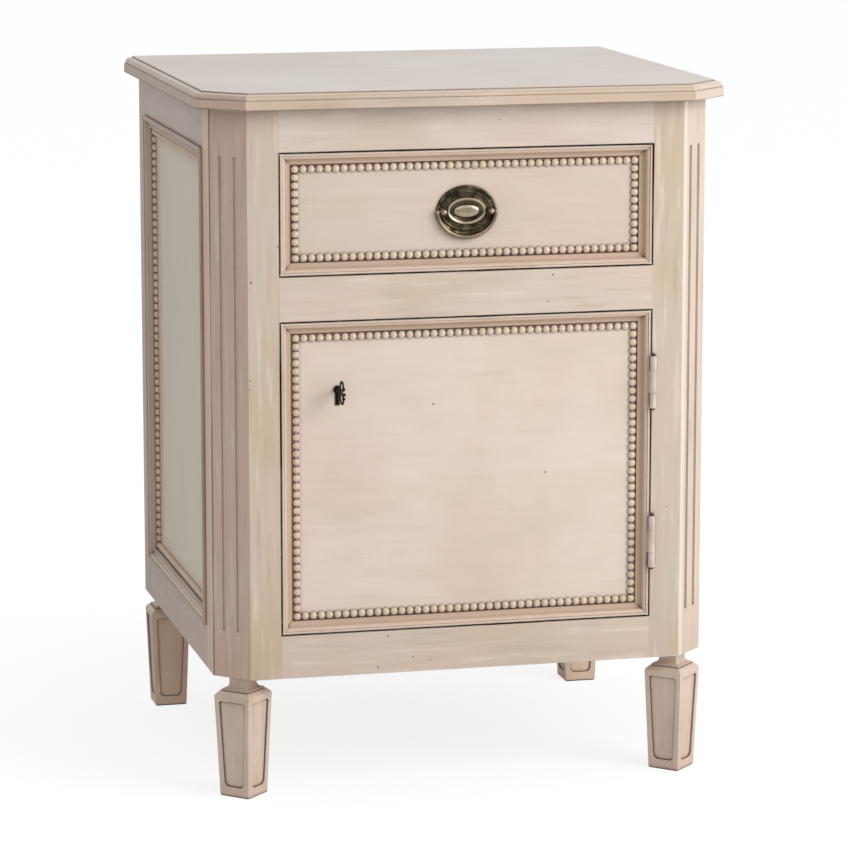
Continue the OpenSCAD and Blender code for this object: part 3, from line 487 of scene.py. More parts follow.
def rubbed_and_lit_edges(tree, noises, colour, strength, lip):
    """Edges pale, rubbed and partly a painted highlight, or brown on the left side; lip is the distance from a
    moulding's beads, or None.
    """
    edge = fall(tree, hollow(tree, 1.5 * MM, inside=True, samples=4), 0.35, 0.8, 0.85 * strength)
    edge = times(tree, edge, rise_from(tree, noises["drifts"], 0.3, 0.55, 0.45))
    edge = times(tree, edge, minus(tree, 1.0, at_joints(tree)))
    if lip is not None:
        edge = times(tree, edge, rise(tree, lip, 8 * MM, 10 * MM))
    on_left = below(tree, axes(tree)[0], 1.5 * MM - CASE_HALF)
    brown = larger(tree, on_left, rise(tree, noises["patches"], 0.6, 0.66))
    return mix(tree, edge, colour, mix(tree, brown, PALE_WEAR_AND_LIGHT, RUBBED))


def painted_wood(name, axis, base=CREAM, left_shade_tint=LEFT_SHADE_TINT, glaze=0.85, reach=5.0, grip=(0.3, 0.86),
                 shade_depth=0.97, hollow_shade=1.0, edges=1.0, mottle=1.0, flutes=False, gaps=False, foot_line=False,
                 surround=(), haze_in="", marks=(), raw=True):
    """Brushed paint under a brown glaze that stays in the crevices.

    axis is the way of the brush, left_shade_tint the colour painted on faces that look left, into the shade
    (None where the way a face looks makes no difference), glaze how much brown is left, glaze that partly
    paints the shade of crevices, reach how far in millimetres it spreads from a crevice, grip how open a place
    is where it is full and where it ends, shade_depth how black the painted shade in the narrowest gaps is,
    hollow_shade how strong the painted shade is round larger hollows, edges how much the edges are rubbed
    pale, partly as a painted highlight, and mottle how uneven the paint is. flutes says that this is a fluted
    post, with painted light in its flutes, gaps that it lies beside the drawer or the door, with painted shade
    on the lips of the gaps, and foot_line that it is the slab, with a brown line along its foot. surround
    names the beads that a moulding goes round, with painted near-black shade along them, haze_in those that
    leave a pink-brown haze, partly glaze and partly painted shade, inside them on a side, marks are dents, and
    raw says that faces inside the case are bare wood.
    """
    material, tree, shader = new_material(name)
    noises = paint_noises(tree, axis)
    drifts = noises["drifts"]
    patches = noises["patches"]
    colour = paint_coat(tree, noises, base, left_shade_tint, mottle)

    # glaze and painted shade: painted brown shade round large hollows and under the slab, brown glaze in
    # crevices that also paints their shade, and painted near-black shade where they are tight
    broad_shade_share = fall(tree, hollow(tree, 34 * MM, samples=4), 0.45, 0.95, 0.36 * hollow_shade)
    colour = mix(tree, broad_shade_share, colour, HAZE)
    openness = hollow(tree, reach * MM)
    fine = fall(tree, openness, grip[0], grip[1], glaze)
    fine = times(tree, fine, spread(tree, drifts, 0.25, 0.6, 0.6, 1.1))
    gap_shade_share = fall(tree, hollow(tree, 2.8 * MM, samples=4), 0.36, 0.86, shade_depth)
    if flutes:
        inside, dark = flute_masks(tree, openness)
        outside = minus(tree, 1.0, inside)
        gap_shade_share = times(tree, gap_shade_share, outside)
        fine = larger(tree, times(tree, fine, outside), times(tree, dark, 0.85))
        # painted light inside the flutes, which lifts their shade
        colour = mix(tree, times(tree, inside, 0.45), colour, PALE_WEAR_AND_LIGHT)
    lip = None
    if surround:
        lip = past_nearest(tree, surround)
        colour = mix(tree, spread(tree, lip, 6 * MM, 10.5 * MM, 0.65, 0.2), colour, TAN)
        # painted near-black shade in the crevice along the beads
        gap_shade_share = larger(tree, gap_shade_share, fall(tree, lip, 0.5 * MM, 1.6 * MM, 0.75))
    if gaps:
        # painted shade on the lips of the gaps round the drawer and the door
        gap_shade_share = larger(tree, gap_shade_share, lip_shade_lines(tree))
    colour = mix(tree, math_node(tree, "MINIMUM", fine, 0.95), colour, UMBER)
    colour = mix(tree, gap_shade_share, colour, GAP_SHADE_BLACK)
    if foot_line:
        line = fall(tree, axes(tree)[2], SLAB_LOW + 0.5 * MM, SLAB_LOW + 1.5 * MM, 0.8)
        colour = mix(tree, times(tree, line, rise_from(tree, patches, 0.3, 0.55, 0.45)), colour, UMBER)

    if edges:
        colour = rubbed_and_lit_edges(tree, noises, colour, edges, lip)
    if flutes:
        # a painted highlight along the right cant, and a brown line where the left cant meets the side
        worn, bright = post_edges(tree)
        colour = mix(tree, times(tree, bright, 0.6), colour, PALE_WEAR_AND_LIGHT)
        worn = times(tree, worn, spread(tree, patches, 0.35, 0.55, 0.25, 0.8))
        colour = mix(tree, worn, colour, UMBER)
    if haze_in:
        # a pink-brown band beside the beads, partly glaze and partly painted shade of the moulding; the right
        # side, which is lit, has it too, but less of it
        from_beads = times(tree, past_outline(tree, haze_in, 1, 0.5), -1.0)
        band = fall(tree, from_beads, 5 * MM, 22 * MM, 0.85)
        band = times(tree, band, spread(tree, axes(tree)[0], -0.1, 0.1, 1.0, 0.35))
        colour = mix(tree, times(tree, band, rise_from(tree, drifts, 0.3, 0.6, 0.7)), colour, BAND)
    height = noises["bristles"]
    if marks:
        dents = knocks(tree, marks)
        colour = mix(tree, times(tree, dents, 0.85), colour, DENT)
        height = minus(tree, height, times(tree, dents, 6.0))

    # rough and without sheen where the painted gap shade is
    roughness = blend_value(tree, gap_shade_share, spread(tree, noises["clouds"], 0.3, 0.7, 0.34, 0.44), 1.0)
    put(tree, shader.inputs["Specular IOR Level"], fall(tree, gap_shade_share, 0.2, 0.8, 0.5))
    if raw:
        inside = raw_inside(tree)
        colour = mix(tree, inside, colour, wood_colour(tree, axis))
        roughness = blend_value(tree, inside, roughness, 0.7)
    put(tree, shader.inputs["Base Color"], colour)
    put(tree, shader.inputs["Roughness"], roughness)
    softened = node(tree, "ShaderNodeBevel", {"Radius": 0.8 * MM}, samples=4)
    bump = add_bump(tree, shader, 0.22, 0.12 * MM, height)
    put(tree, bump.inputs["Normal"], softened.outputs[0])
    return material


def painted_steel(name, light, shade):
    """Hinges painted over with the case, with dark lines at their joints and rubbed ends."""
    material, tree, shader = new_material(name)
    drifts = noise(tree, place(tree, stretch=drawn_out("Z", 0.4)), 90.0)
    colour = mix(tree, rise(tree, drifts, 0.35, 0.7), light, shade)
    edge = fall(tree, hollow(tree, 1.2 * MM, inside=True), 0.3, 0.75, 0.5)
    colour = mix(tree, edge, colour, STEEL_WORN)
    joints = fall(tree, hollow(tree, 3.0 * MM), 0.35, 0.9)
    colour = mix(tree, joints, colour, STEEL_JOINT)
    put(tree, shader.inputs["Base Color"], colour)
    put(tree, shader.inputs["Roughness"], spread(tree, drifts, 0.3, 0.7, 0.2, 0.34))
    return material


def old_brass(name, worn):
    """Brass with a dark patina, worn bright by some share where it stands out from the drawer's panel."""
    material, tree, shader = new_material(name)
    drifts = noise(tree, place(tree), 70.0, 4.0, 0.6)
    specks = noise(tree, place(tree, shift=(0.3, 0.1, 0.6)), 900.0, 3.0, 0.6)
    colour = mix(tree, rise(tree, drifts, 0.36, 0.66), BRASS_DARK, BRASS_DULL)
    out = minus(tree, PULL.y, axes(tree)[1])
    raised = rise(tree, out, 2.3 * MM, 3.4 * MM, worn)
    raised = times(tree, raised, rise_from(tree, specks, 0.25, 0.6, 0.8))
    colour = mix(tree, raised, colour, BRASS_RAISED)
    edge = fall(tree, hollow(tree, 1.4 * MM, inside=True), 0.25, 0.75, 0.9)
    colour = mix(tree, edge, colour, BRASS_EDGE)
    colour = mix(tree, rise(tree, specks, 0.5, 0.75, 0.35), colour, BRASS_SPECK)
    deep = fall(tree, hollow(tree, 3.5 * MM), 0.45, 0.93, 0.97)
    colour = mix(tree, deep, colour, BRASS_DEEP)
    put(tree, shader.inputs["Base Color"], colour)
    shader.inputs["Metallic"].default_value = 1.0
    rough = spread(tree, specks, 0.3, 0.7, 0.2, 0.32)
    put(tree, shader.inputs["Roughness"], blend_value(tree, deep, rough, 0.6))
    add_bump(tree, shader, 0.25, 0.1 * MM, specks)
    return material


def dark_iron(name):
    """Bronzed steel, nearly black, a little brighter on its edges."""
    material, tree, shader = new_material(name)
    drifts = noise(tree, place(tree), 160.0, 4.0, 0.6)
    colour = mix(tree, rise(tree, drifts, 0.35, 0.7), IRON_DARK, IRON_LIGHT)
    edge = fall(tree, hollow(tree, 0.9 * MM, inside=True), 0.3, 0.7, 0.55)
    colour = mix(tree, edge, colour, IRON_EDGE)
    deep = fall(tree, hollow(tree, 3 * MM), 0.35, 0.85, 0.9)
    colour = mix(tree, deep, colour, IRON_DEEP)
    put(tree, shader.inputs["Base Color"], colour)
    shader.inputs["Metallic"].default_value = 0.9
    put(tree, shader.inputs["Roughness"], spread(tree, drifts, 0.3, 0.7, 0.3, 0.48))
    add_bump(tree, shader, 0.2, 0.1 * MM, drifts)
    return material


# ---- which material each solid wears ----

# dents and chips: x, z and radius in millimetres
DOOR_MARKS = [(-36, 423.5, 1.4), (89, 343.5, 1.5), (82, 545, 1.1)]
RAIL_MARKS = [(93.6, 559.9, 1.3), (88.2, 532, 1.2), (-88.4, 173.8, 1.3), (-60.7, 149, 1.0),
              (-41.8, 144.5, 1.0), (-99.5, 140.1, 1.3), (34, 728, 0.9)]
POST_MARKS = [(-235.4, 562.5, 1.4), (-237.4, 458, 1.1), (-237.2, 449, 0.9), (-206.2, 600, 1.3),
              (223, 301, 0.9)]
BACK_BOARDS = 4
NAIL_RADIUS = 2.1


def nail_marks():
    """Two nails for each back board and back rail."""
    low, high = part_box("back_boards")
    board = (high.x - low.x) / BACK_BOARDS
    marks = []
    for rail in BACK_RAILS:
        rail_low, rail_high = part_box(rail)
        height = (rail_low.z + rail_high.z) / 2
        for i in range(BACK_BOARDS):
            for part in (0.25, 0.75):
                marks.append(((low.x + (i + part) * board) / MM, height / MM, NAIL_RADIUS))
    return marks


# what legs have in common, and beads
LEG = {"axis": "Z", "left_shade_tint": None, "grip": (0.45, 0.96), "mottle": 1.3, "raw": False}
BEADS = {"axis": "Z", "left_shade_tint": None, "reach": 3.0, "edges": 0.0, "raw": False}

PAINTS = {
    "paint_slab": dict(
        axis="X", base=srgb(207, 184, 163), left_shade_tint=srgb(204, 186, 168), shade_depth=0.3, edges=0.8, mottle=1.4,
        foot_line=True),
    "paint_stile": dict(
        axis="Z", base=srgb(209, 190, 172), left_shade_tint=srgb(245, 214, 192), reach=4.0, grip=(0.5, 0.97),
        mottle=1.8, flutes=True, gaps=True, marks=POST_MARKS),
    "paint_back_post": dict(axis="Z", left_shade_tint=srgb(214, 196, 184), shade_depth=0.5, mottle=1.5),
    # the top rail: lighter, and with little painted shade round hollows, so the painted shade under the slab
    # stays faint
    "paint_top_rail": dict(
        axis="X", base=srgb(221, 206, 195), hollow_shade=0.12, mottle=1.2, gaps=True, marks=RAIL_MARKS),
    "paint_rail": dict(
        axis="X", base=srgb(216, 199, 184), hollow_shade=0.5, mottle=1.6, gaps=True, marks=RAIL_MARKS),
    "paint_side_rail": dict(axis="Y", left_shade_tint=srgb(219, 201, 190), shade_depth=0.6, mottle=1.4),
    "paint_side_panel": dict(
        axis="Z", base=srgb(222, 207, 191), left_shade_tint=srgb(242, 231, 211), hollow_shade=1.2, edges=0.0,
        haze_in="left_beads"),
    "paint_panel": dict(axis="X", base=srgb(219, 202, 187), edges=0.0, mottle=0.7),
    "paint_door": dict(
        axis="X", base=srgb(231, 214, 199), edges=0.0, mottle=0.6, marks=DOOR_MARKS, raw=False),
    "paint_moulding": dict(
        axis="Z", base=srgb(226, 206, 188), glaze=0.5, reach=8.0, grip=(0.4, 0.97), hollow_shade=0.2, edges=1.1,
        gaps=True, surround=("drawer_beads", "door_beads"), raw=False),
    "paint_side_moulding": dict(
        axis="Z", base=srgb(210, 190, 174), left_shade_tint=srgb(204, 176, 156), glaze=0.5, reach=6.0,
        grip=(0.4, 0.97), shade_depth=0.55, hollow_shade=0.5, edges=0.5, raw=False),
    "paint_beads": dict(BEADS, base=srgb(225, 206, 184), hollow_shade=0.2),
    "paint_side_beads": dict(BEADS, base=srgb(232, 208, 184), glaze=0.6, shade_depth=0.7, hollow_shade=0.5),
    "paint_leg": dict(LEG, base=srgb(239, 219, 203), glaze=0.7, reach=5.0, hollow_shade=0.3),
    # a lighter copy of the leg paint without painted hollow shade: painted light on the back legs, which stand
    # in shade
    "paint_back_leg_lit": dict(LEG, base=srgb(255, 226, 203), glaze=0.6, reach=4.0, hollow_shade=0.0),
}

MATERIALS = {name: painted_wood(name, **settings) for name, settings in PAINTS.items()}
MATERIALS |= {
    "wood_x": bare_wood("wood_x", "X"),
    "wood_y": bare_wood("wood_y", "Y"),
    "wood_z": bare_wood("wood_z", "Z", nails=nail_marks()),
    "painted_steel": painted_steel("painted_steel", srgb(222, 206, 192), srgb(202, 184, 170)),
    # near-black pins, which also paint the shade at the ends of the hinge barrels
    "pin_steel_and_shade": painted_steel("pin_steel_and_shade", srgb(60, 45, 35), srgb(40, 28, 20)),
    "old_brass": old_brass("old_brass", 0.85),
    "handled_brass": old_brass("handled_brass", 0.5),
    "dark_iron": dark_iron("dark_iron"),
}

WEARS = {
    "paint_slab": ["top_slab"],
    "paint_stile": ["front_left_post", "front_right_post"],
    "paint_back_post": ["back_left_post", "back_right_post"],
    "paint_top_rail": ["front_top_rail"],
    "paint_rail": ["front_middle_rail", "front_bottom_rail"],
    "paint_side_rail": ["left_top_rail", "left_bottom_rail", "right_top_rail", "right_bottom_rail"],
    "paint_side_panel": ["left_panel", "right_panel"],
    "paint_panel": ["drawer_front"],
    "paint_door": ["door_board"],
    "paint_moulding": ["drawer_moulding", "door_moulding"],
    "paint_side_moulding": ["left_moulding", "right_moulding"],
    "paint_beads": ["drawer_beads", "door_beads"],
    "paint_side_beads": ["left_beads", "right_beads"],
    "paint_leg": ["front_left_leg", "front_right_leg"],
    "paint_back_leg_lit": ["back_left_leg", "back_right_leg"],
    "wood_x": [*BACK_RAILS, "bottom_board", "dust_board", "drawer_back", "drawer_bottom", "drawer_stops",
               "door_stops", "top_blocks"],
    "wood_y": ["left_runner", "right_runner", "drawer_guides", "drawer_kickers", "bottom_battens",
               "drawer_left_side", "drawer_right_side"],
    "wood_z": ["back_boards"],
    "painted_steel": ["hinge_frame_leaves", "hinge_door_leaves"],
    "pin_steel_and_shade": ["hinge_pins"],
    "old_brass": ["pull_plate", "pull_posts", "pull_nuts"],
    "handled_brass": ["pull_bail"],
    "dark_iron": ["hinge_frame_screws", "hinge_door_screws", "lock_case", "lock_screws", "escutcheon",
                  "lock_bolt", "key"],
}

for material_name, names in WEARS.items():
    for name in names:
        NODES[name].material_slots[0].material = MATERIALS[material_name]


# ---- meshes of the pull and the key ----

def new_piece(name, points, faces, material, body, nodes):
    """A smooth mesh object that rides on a body and stands for solids of the part."""
    mesh = bpy.data.meshes.new(name)
    mesh.from_pydata([tuple(point) for point in points], [], faces)
    mesh.validate()
    mesh.materials.append(MATERIALS[material])
    for face in mesh.polygons:
        face.use_smooth = True
    piece = bpy.data.objects.new(name, mesh)
    bpy.context.scene.collection.objects.link(piece)
    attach(piece, body)
    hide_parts(*nodes)


def curve_through(points, steps):
    """Points on a smooth curve through the given ones (Catmull-Rom), with steps to each stretch."""
    ends = [points[0]] + list(points) + [points[-1]]
    out = []
    for i in range(1, len(ends) - 2):
        before, start, end, after = ends[i - 1:i + 3]
        for step in range(steps):
            t = step / steps
            out.append(tuple(
                0.5 * (2 * b + (c - a) * t + (2 * a - 5 * b + 4 * c - d) * t * t
                       + (3 * b - a - 3 * c + d) * t * t * t)
                for a, b, c, d in zip(before, start, end, after)))
    out.append(tuple(points[-1]))
    return out


def rings_to_faces(count, around, loop=False):
    """Faces between rings of points, numbered ring by ring, which close in a loop or at both ends."""
    faces = []
    stretches = count if loop else count - 1
    for i in range(stretches):
        j = (i + 1) % count
        for k in range(around):
            m = (k + 1) % around
            faces.append((i * around + k, i * around + m, j * around + m, j * around + k))
    if not loop:
        faces.append(tuple(reversed(range(around))))
        faces.append(tuple(range((count - 1) * around, count * around)))
    return faces


def tube(path, radii, around):
    """Points and faces of a round rod along a path, with a radius at each of its points."""
    points = []
    side = None
    for i, centre in enumerate(path):
        ahead = (path[min(i + 1, len(path) - 1)] - path[max(i - 1, 0)]).normalized()
        if side is None:
            side = ahead.orthogonal().normalized()
        side = (side - ahead * side.dot(ahead)).normalized()
        up = ahead.cross(side)
        for k in range(around):
            turn = 2 * math.pi * k / around
            points.append(centre + (side * math.cos(turn) + up * math.sin(turn)) * radii[i])
    return points, rings_to_faces(len(path), around)


def ball(centre, radius, along, steps, around, tip):
    """Points and faces of a ball turned about the direction along, with the radius tip at its ends."""
    path = []
    radii = []
    for i in range(steps + 1):
        turn = math.pi * i / steps
        path.append(centre - along * radius * math.cos(turn))
        radii.append(max(radius * math.sin(turn), tip))
    return tube(path, radii, around)


def join(parts):
    """Several (points, faces) as one."""
    points = []
    faces = []
    for more_points, more_faces in parts:
        start = len(points)
        points += list(more_points)
        faces += [tuple(start + i for i in face) for face in more_faces]
    return points, faces


# half width, half height and height above the panel of the stamped plate, from its edge to its middle
PLATE_PROFILE = [
    (32.5, 27.0, 1.0), (32.2, 26.7, 1.9), (31.3, 25.7, 2.4), (30.2, 24.4, 2.1), (29.3, 23.1, 1.5),
    (28.5, 21.8, 1.5), (27.9, 20.9, 2.2), (27.2, 20.1, 2.3), (26.6, 19.4, 1.6), (25.2, 18.1, 1.4),
    (23.0, 16.1, 1.4), (22.0, 15.2, 1.6), (21.3, 14.5, 2.7), (20.5, 13.8, 3.3), (19.6, 12.9, 3.2),
    (18.7, 11.9, 2.9), (17.8, 10.8, 2.4), (16.7, 9.4, 1.5), (15.7, 8.3, 1.3), (15.0, 7.7, 1.6),
    (14.3, 7.1, 2.5), (12.9, 6.2, 3.5), (9.5, 4.5, 4.1), (5.0, 2.4, 4.4), (1.5, 0.7, 4.4)]
PLATE_FOOT = (32.5, 27.0, 0.0)
PLATE_STEPS = 3
PLATE_AROUND = 144


def pull_plate():
    """An oval plate with a raised rim, two rings and a domed boss."""
    profile = [PLATE_FOOT] + curve_through(PLATE_PROFILE, PLATE_STEPS)
    points = []
    for half_wide, half_high, out in profile:
        for k in range(PLATE_AROUND):
            turn = 2 * math.pi * k / PLATE_AROUND
            offset = Vector((half_wide * math.cos(turn), -out, half_high * math.sin(turn)))
            points.append(PULL + offset * MM)
    faces = [tuple(reversed(face)) for face in rings_to_faces(len(profile), PLATE_AROUND)]
    new_piece("stamped_plate", points, faces, "old_brass", "drawer", ["pull_plate"])


# the radius of a post's head, and of the bail's rod, balls and pins
POST_HEAD = 3.3 * MM
BAIL_ROD = 2.0 * MM
BAIL_BALL = 2.3 * MM
BAIL_PIN = 1.15 * MM
BAIL_STEPS = 96
BAIL_AROUND = 20
BAIL_BALL_STEPS = 12
BAIL_BALL_TIP = 0.05 * MM
PIN_AROUND = 12

bail_low, bail_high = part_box("pull_bail")
BAIL_HALF = (bail_high.x - bail_low.x) / 2 - BAIL_ROD
BAIL_DROP = PULL.z - bail_low.z - BAIL_ROD
BAIL_Y = (bail_low.y + bail_high.y) / 2
posts_low, posts_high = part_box("pull_posts")
POST_X = (posts_high.x - posts_low.x) / 2 - POST_HEAD


def pull_bail():
    """A drooping rod, thicker at its middle, with a ball and a pin at each end."""
    path = []
    radii = []
    for i in range(BAIL_STEPS + 1):
        turn = math.pi * i / BAIL_STEPS
        path.append(Vector((-BAIL_HALF * math.cos(turn), BAIL_Y, PULL.z - BAIL_DROP * math.sin(turn))))
        radii.append(BAIL_ROD * (0.82 + 0.38 * math.sin(turn) ** 2))
    parts = [tube(path, radii, BAIL_AROUND)]
    for side in (-1, 1):
        end = Vector((side * BAIL_HALF, BAIL_Y, PULL.z))
        parts.append(ball(end, BAIL_BALL, Vector((1, 0, 0)), BAIL_BALL_STEPS, BAIL_AROUND, BAIL_BALL_TIP))
        in_post = Vector((side * POST_X, BAIL_Y, PULL.z))
        parts.append(tube([in_post, end], [BAIL_PIN, BAIL_PIN], PIN_AROUND))
    points, faces = join(parts)
    new_piece("swept_bail", points, faces, "handled_brass", "bail", ["pull_bail"])


# distance from the panel and radius of a turned post, in millimetres
POST_PROFILE = [
    (-17.5, 2.0), (1.0, 2.0), (1.1, 3.2), (1.9, 3.2), (2.3, 2.2), (3.0, 1.9), (3.7, 2.5), (4.3, 3.0),
    (4.9, 3.1), (5.5, 3.0), (6.1, 2.5), (6.6, 2.3), (7.0, 2.7), (7.7, 3.15), (8.6, 3.3), (9.5, 3.15),
    (10.3, 2.7), (11.0, 2.0), (11.5, 1.2), (11.8, 0.3)]
POST_AROUND = 28


def pull_posts():
    """Two turned posts with a threaded end behind the panel and a ball in front."""
    parts = []
    for side in (-1, 1):
        path = [Vector((PULL.x + side * POST_X, PULL.y - out * MM, PULL.z)) for out, _ in POST_PROFILE]
        parts.append(tube(path, [radius * MM for _, radius in POST_PROFILE], POST_AROUND))
    points, faces = join(parts)
    new_piece("turned_posts", points, faces, "old_brass", "drawer", ["pull_posts"])


key_joint = next(joint for joint in frame["joints"] if joint["name"] == "key_turn")
KEY_AXIS = Vector(key_joint["pos_m"])
key_low, key_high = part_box("key")
BOW_LENGTH = 23.3 * MM

# all of the key's lists are in millimetres: place along it and radius, from its tip, from the end of its
# bow and from its inner end
KEY_TIP = [(0.2, 0.4), (0.6, 1.3), (1.6, 1.8), (2.6, 1.3), (3.2, 0.9)]
KEY_STEM = [(-3.0, 0.9), (-1.6, 1.6), (0.0, 2.3), (0.5, 2.8), (1.3, 2.8), (1.8, 2.1), (9.2, 2.1), (9.6, 3.6),
            (11.6, 3.6), (12.0, 2.45)]
KEY_END = [(-0.4, 2.45), (0.0, 2.1)]
# the bit's outline: place along the key from its inner end, and height
BIT_OUTLINE = [(-6.5, 0.0), (-6.5, -9.0), (-4.3, -9.0), (-4.3, -6.4), (-2.9, -6.4), (-2.9, -9.0),
               (0.0, -9.0), (0.0, 0.0)]
# the bow's two rings: middle before the end of the bow and away from the key's axis, radii, thickness
RING_BACK = 9.2 * MM
RING_OFF = 6.3 * MM
RING_LONG = 7.8 * MM
RING_HIGH = 4.4 * MM
RING_ROD = 1.25 * MM
RING_FLAT = 1.0 * MM
# balls on each ring: along the key and away from its axis, both from the ring's middle, and radius
RING_BALLS = [(1.0, 5.0, 1.7), (-3.6, 4.6, 1.5), (-8.6, -1.2, 1.9), (7.4, -3.2, 1.5)]
RING_STEPS = 40
RING_AROUND = 14
RING_BALL_STEPS = 10
RING_BALL_TIP = 0.03 * MM
KEY_AROUND = 24


def ring_part(centre):
    """A ring in the plane of the key's bow, with an oval section."""
    points = []
    for i in range(RING_STEPS):
        turn = 2 * math.pi * i / RING_STEPS
        out = Vector((0.0, -math.cos(turn), math.sin(turn)))
        middle = centre + Vector((0.0, out.y * RING_LONG, out.z * RING_HIGH))
        for k in range(RING_AROUND):
            roll = 2 * math.pi * k / RING_AROUND
            across = Vector((RING_FLAT * math.sin(roll), 0, 0))
            points.append(middle + out * RING_ROD * math.cos(roll) + across)
    return points, rings_to_faces(RING_STEPS, RING_AROUND, loop=True)


def bit_part(end):
    """The key's flat bit, 2 mm thick, with a notch for the ward."""
    count = len(BIT_OUTLINE)
    points = [end + Vector((side, along, up)) * MM for side in (-1, 1) for along, up in BIT_OUTLINE]
    faces = [tuple(range(count)), tuple(reversed(range(count, 2 * count)))]
    faces += [(i, i + count, (i + 1) % count + count, (i + 1) % count) for i in range(count)]
    return points, faces


def key():
    """A turned shaft with a collar and a bit, and a bow of two open rings about a centre bar."""
    bow_y = key_low.y + BOW_LENGTH
    path = []
    radii = []
    for start, profile in ((key_low.y, KEY_TIP), (bow_y, KEY_STEM), (key_high.y, KEY_END)):
        for along, radius in profile:
            path.append(Vector((KEY_AXIS.x, start + along * MM, KEY_AXIS.z)))
            radii.append(radius * MM)
    parts = [tube(path, radii, KEY_AROUND)]
    for side in (-1, 1):
        middle = Vector((KEY_AXIS.x, bow_y - RING_BACK, KEY_AXIS.z + side * RING_OFF))
        parts.append(ring_part(middle))
        for along, away, radius in RING_BALLS:
            centre = middle + Vector((0, along, side * away)) * MM
            parts.append(ball(
                centre, radius * MM, Vector((0, 1, 0)), RING_BALL_STEPS, RING_AROUND, RING_BALL_TIP))
    parts.append(bit_part(Vector((KEY_AXIS.x, key_high.y, KEY_AXIS.z))))
    points, faces = join(parts)
    new_piece("ornate_key", points, faces, "dark_iron", "key", ["key"])


pull_plate()
pull_posts()
pull_bail()
key()


# ---- camera ----

# the camera that shows the case's corners where the photograph has them
TARGET = Vector((0.0100, 0.0135, 0.35907))
AZIMUTH = -13.715
ELEVATION = 10.264
DISTANCE = 4.400
LENS = 164.66
SENSOR = 36.0
CLIP_END = 50.0


def towards(azimuth, elevation):
    """Unit vector from the object, from degrees; azimuth 0 is straight in front, positive to the right."""
    azimuth = math.radians(azimuth)
    elevation = math.radians(elevation)
    return Vector((math.sin(azimuth) * math.cos(elevation),
                   -math.cos(azimuth) * math.cos(elevation),
                   math.sin(elevation)))


def aimed(obj, place_at, target):
    """Puts a camera or lamp somewhere and points its -Z at the target."""
    obj.matrix_world = Matrix.LocRotScale(place_at, (target - place_at).to_track_quat("-Z", "Y"), None)
    bpy.context.scene.collection.objects.link(obj)


camera_data = bpy.data.cameras.new("camera")
camera_data.lens = LENS
camera_data.sensor_width = SENSOR
camera_data.clip_end = CLIP_END
camera = bpy.data.objects.new("camera", camera_data)
aimed(camera, TARGET + towards(AZIMUTH, ELEVATION) * DISTANCE, TARGET)
bpy.context.scene.camera = camera


# ---- light and floor ----

LAMPS_AIM = Vector((0.0, 0.0, 0.4))
WORLD_COLOUR = (0.985, 0.99, 1.0, 1.0)
WORLD_STRENGTH = 0.48
WHITE = (1.0, 1.0, 1.0, 1.0)
FLOOR_HALF = 12.0
FLOOR_COLOUR = (0.86, 0.86, 0.86, 1.0)
FLOOR_GLOW = (0.99, 1.0, 1.0, 1.0)
# how much of the floor that the camera sees is glow, so that the shadow on it stays soft
GLOW_SHARE = 0.7
# the glow grows from near the object, where the lower glow paints a soft shade round it, to far from it,
# where less light reaches the floor
GLOW_NEAR, GLOW_FAR = 0.3, 0.8
GLOW_LOW, GLOW_HIGH = 1.175, 1.245


def soft_lamp(name, azimuth, elevation, distance, size, share):
    """A square soft lamp that adds share of full light to a face turned to it."""
    data = bpy.data.lights.new(name, "AREA")
    data.shape = "SQUARE"
    data.size = size
    data.energy = share * math.pi ** 2 * distance ** 2
    lamp = bpy.data.objects.new(name, data)
    aimed(lamp, LAMPS_AIM + towards(azimuth, elevation) * distance, LAMPS_AIM)


def white_to_the_eye(tree):
    """1 for what the camera sees and for the backdrop in a gloss, and 0 for light on a surface."""
    path = node(tree, "ShaderNodeLightPath").outputs
    seen = larger(tree, path["Is Camera Ray"], path["Is Transmission Ray"])
    behind = rise(tree, axes(tree, "Generated")[1], 0.0, 0.5)
    return larger(tree, seen, times(tree, path["Is Glossy Ray"], behind))


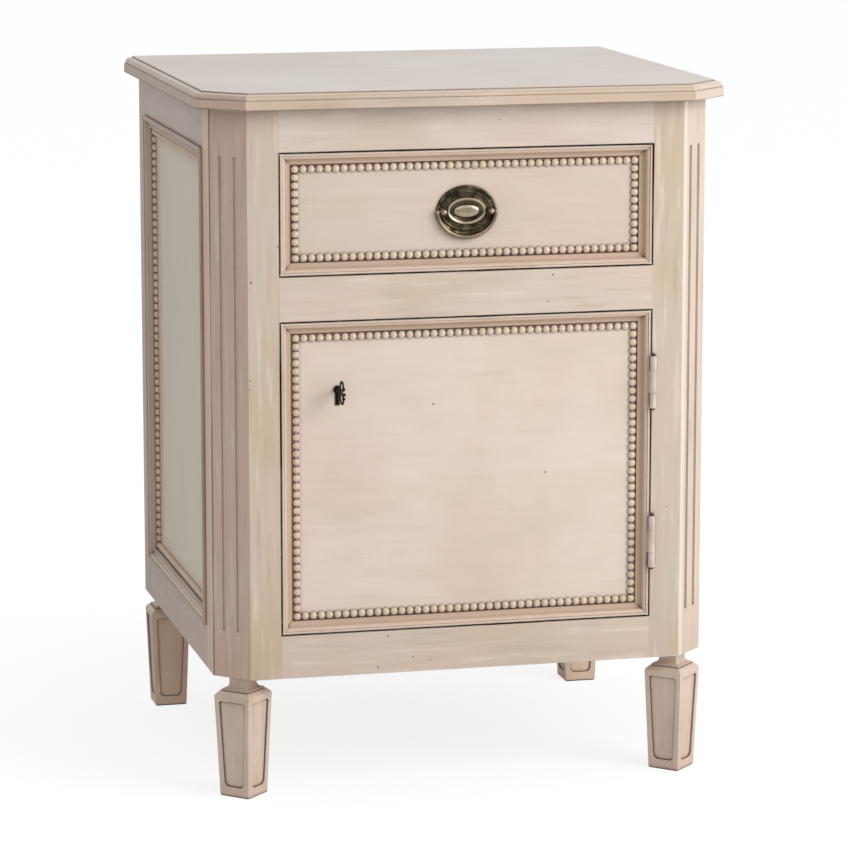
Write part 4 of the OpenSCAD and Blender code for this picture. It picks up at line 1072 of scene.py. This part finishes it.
def mixed_shader(tree, share, first, second):
    made = node(tree, "ShaderNodeMixShader")
    for socket, value in zip(made.inputs, (share, first.outputs[0], second.outputs[0])):
        put(tree, socket, value)
    return made.outputs[0]


def studio():
    """An even pale light all round, with a white backdrop."""
    world = bpy.data.worlds.new("studio")
    bpy.context.scene.world = world
    tree = emptied(world)
    fill = node(tree, "ShaderNodeBackground", {"Color": WORLD_COLOUR, "Strength": WORLD_STRENGTH})
    white = node(tree, "ShaderNodeBackground", {"Color": WHITE, "Strength": 1.0})
    both = mixed_shader(tree, white_to_the_eye(tree), fill, white)
    node(tree, "ShaderNodeOutputWorld", {"Surface": both})


def floor():
    """A pale floor: white where it is lit, and the camera still sees the object's soft shadow on it, and a
    painted soft shade round it.
    """
    material = bpy.data.materials.new("floor")
    tree = emptied(material)
    plain = node(tree, "ShaderNodeBsdfDiffuse", {"Color": FLOOR_COLOUR})
    where = node(tree, "ShaderNodeTexCoord").outputs["Object"]
    away = node(tree, "ShaderNodeVectorMath", {0: where}, operation="LENGTH").outputs["Value"]
    strength = spread(tree, away, GLOW_NEAR, GLOW_FAR, GLOW_LOW, GLOW_HIGH)
    glow = node(tree, "ShaderNodeEmission", {"Color": FLOOR_GLOW, "Strength": strength})
    seen = node(tree, "ShaderNodeLightPath").outputs["Is Camera Ray"]
    lifted = mixed_shader(tree, times(tree, seen, GLOW_SHARE), plain, glow)
    node(tree, "ShaderNodeOutputMaterial", {"Surface": lifted})
    corners = [(x * FLOOR_HALF, y * FLOOR_HALF, 0) for x, y in ((-1, -1), (1, -1), (1, 1), (-1, 1))]
    mesh = bpy.data.meshes.new("floor")
    mesh.from_pydata(corners, [], [(0, 1, 2, 3)])
    mesh.materials.append(material)
    piece = bpy.data.objects.new("floor", mesh)
    bpy.context.scene.collection.objects.link(piece)


soft_lamp("key_lamp", azimuth=44, elevation=24, distance=3.2, size=1.9, share=0.55)
soft_lamp("front_lamp", azimuth=-8, elevation=30, distance=3.6, size=2.2, share=0.10)
studio()
floor()
bpy.context.scene.view_settings.view_transform = "Standard"

bpy.context.view_layer.update()
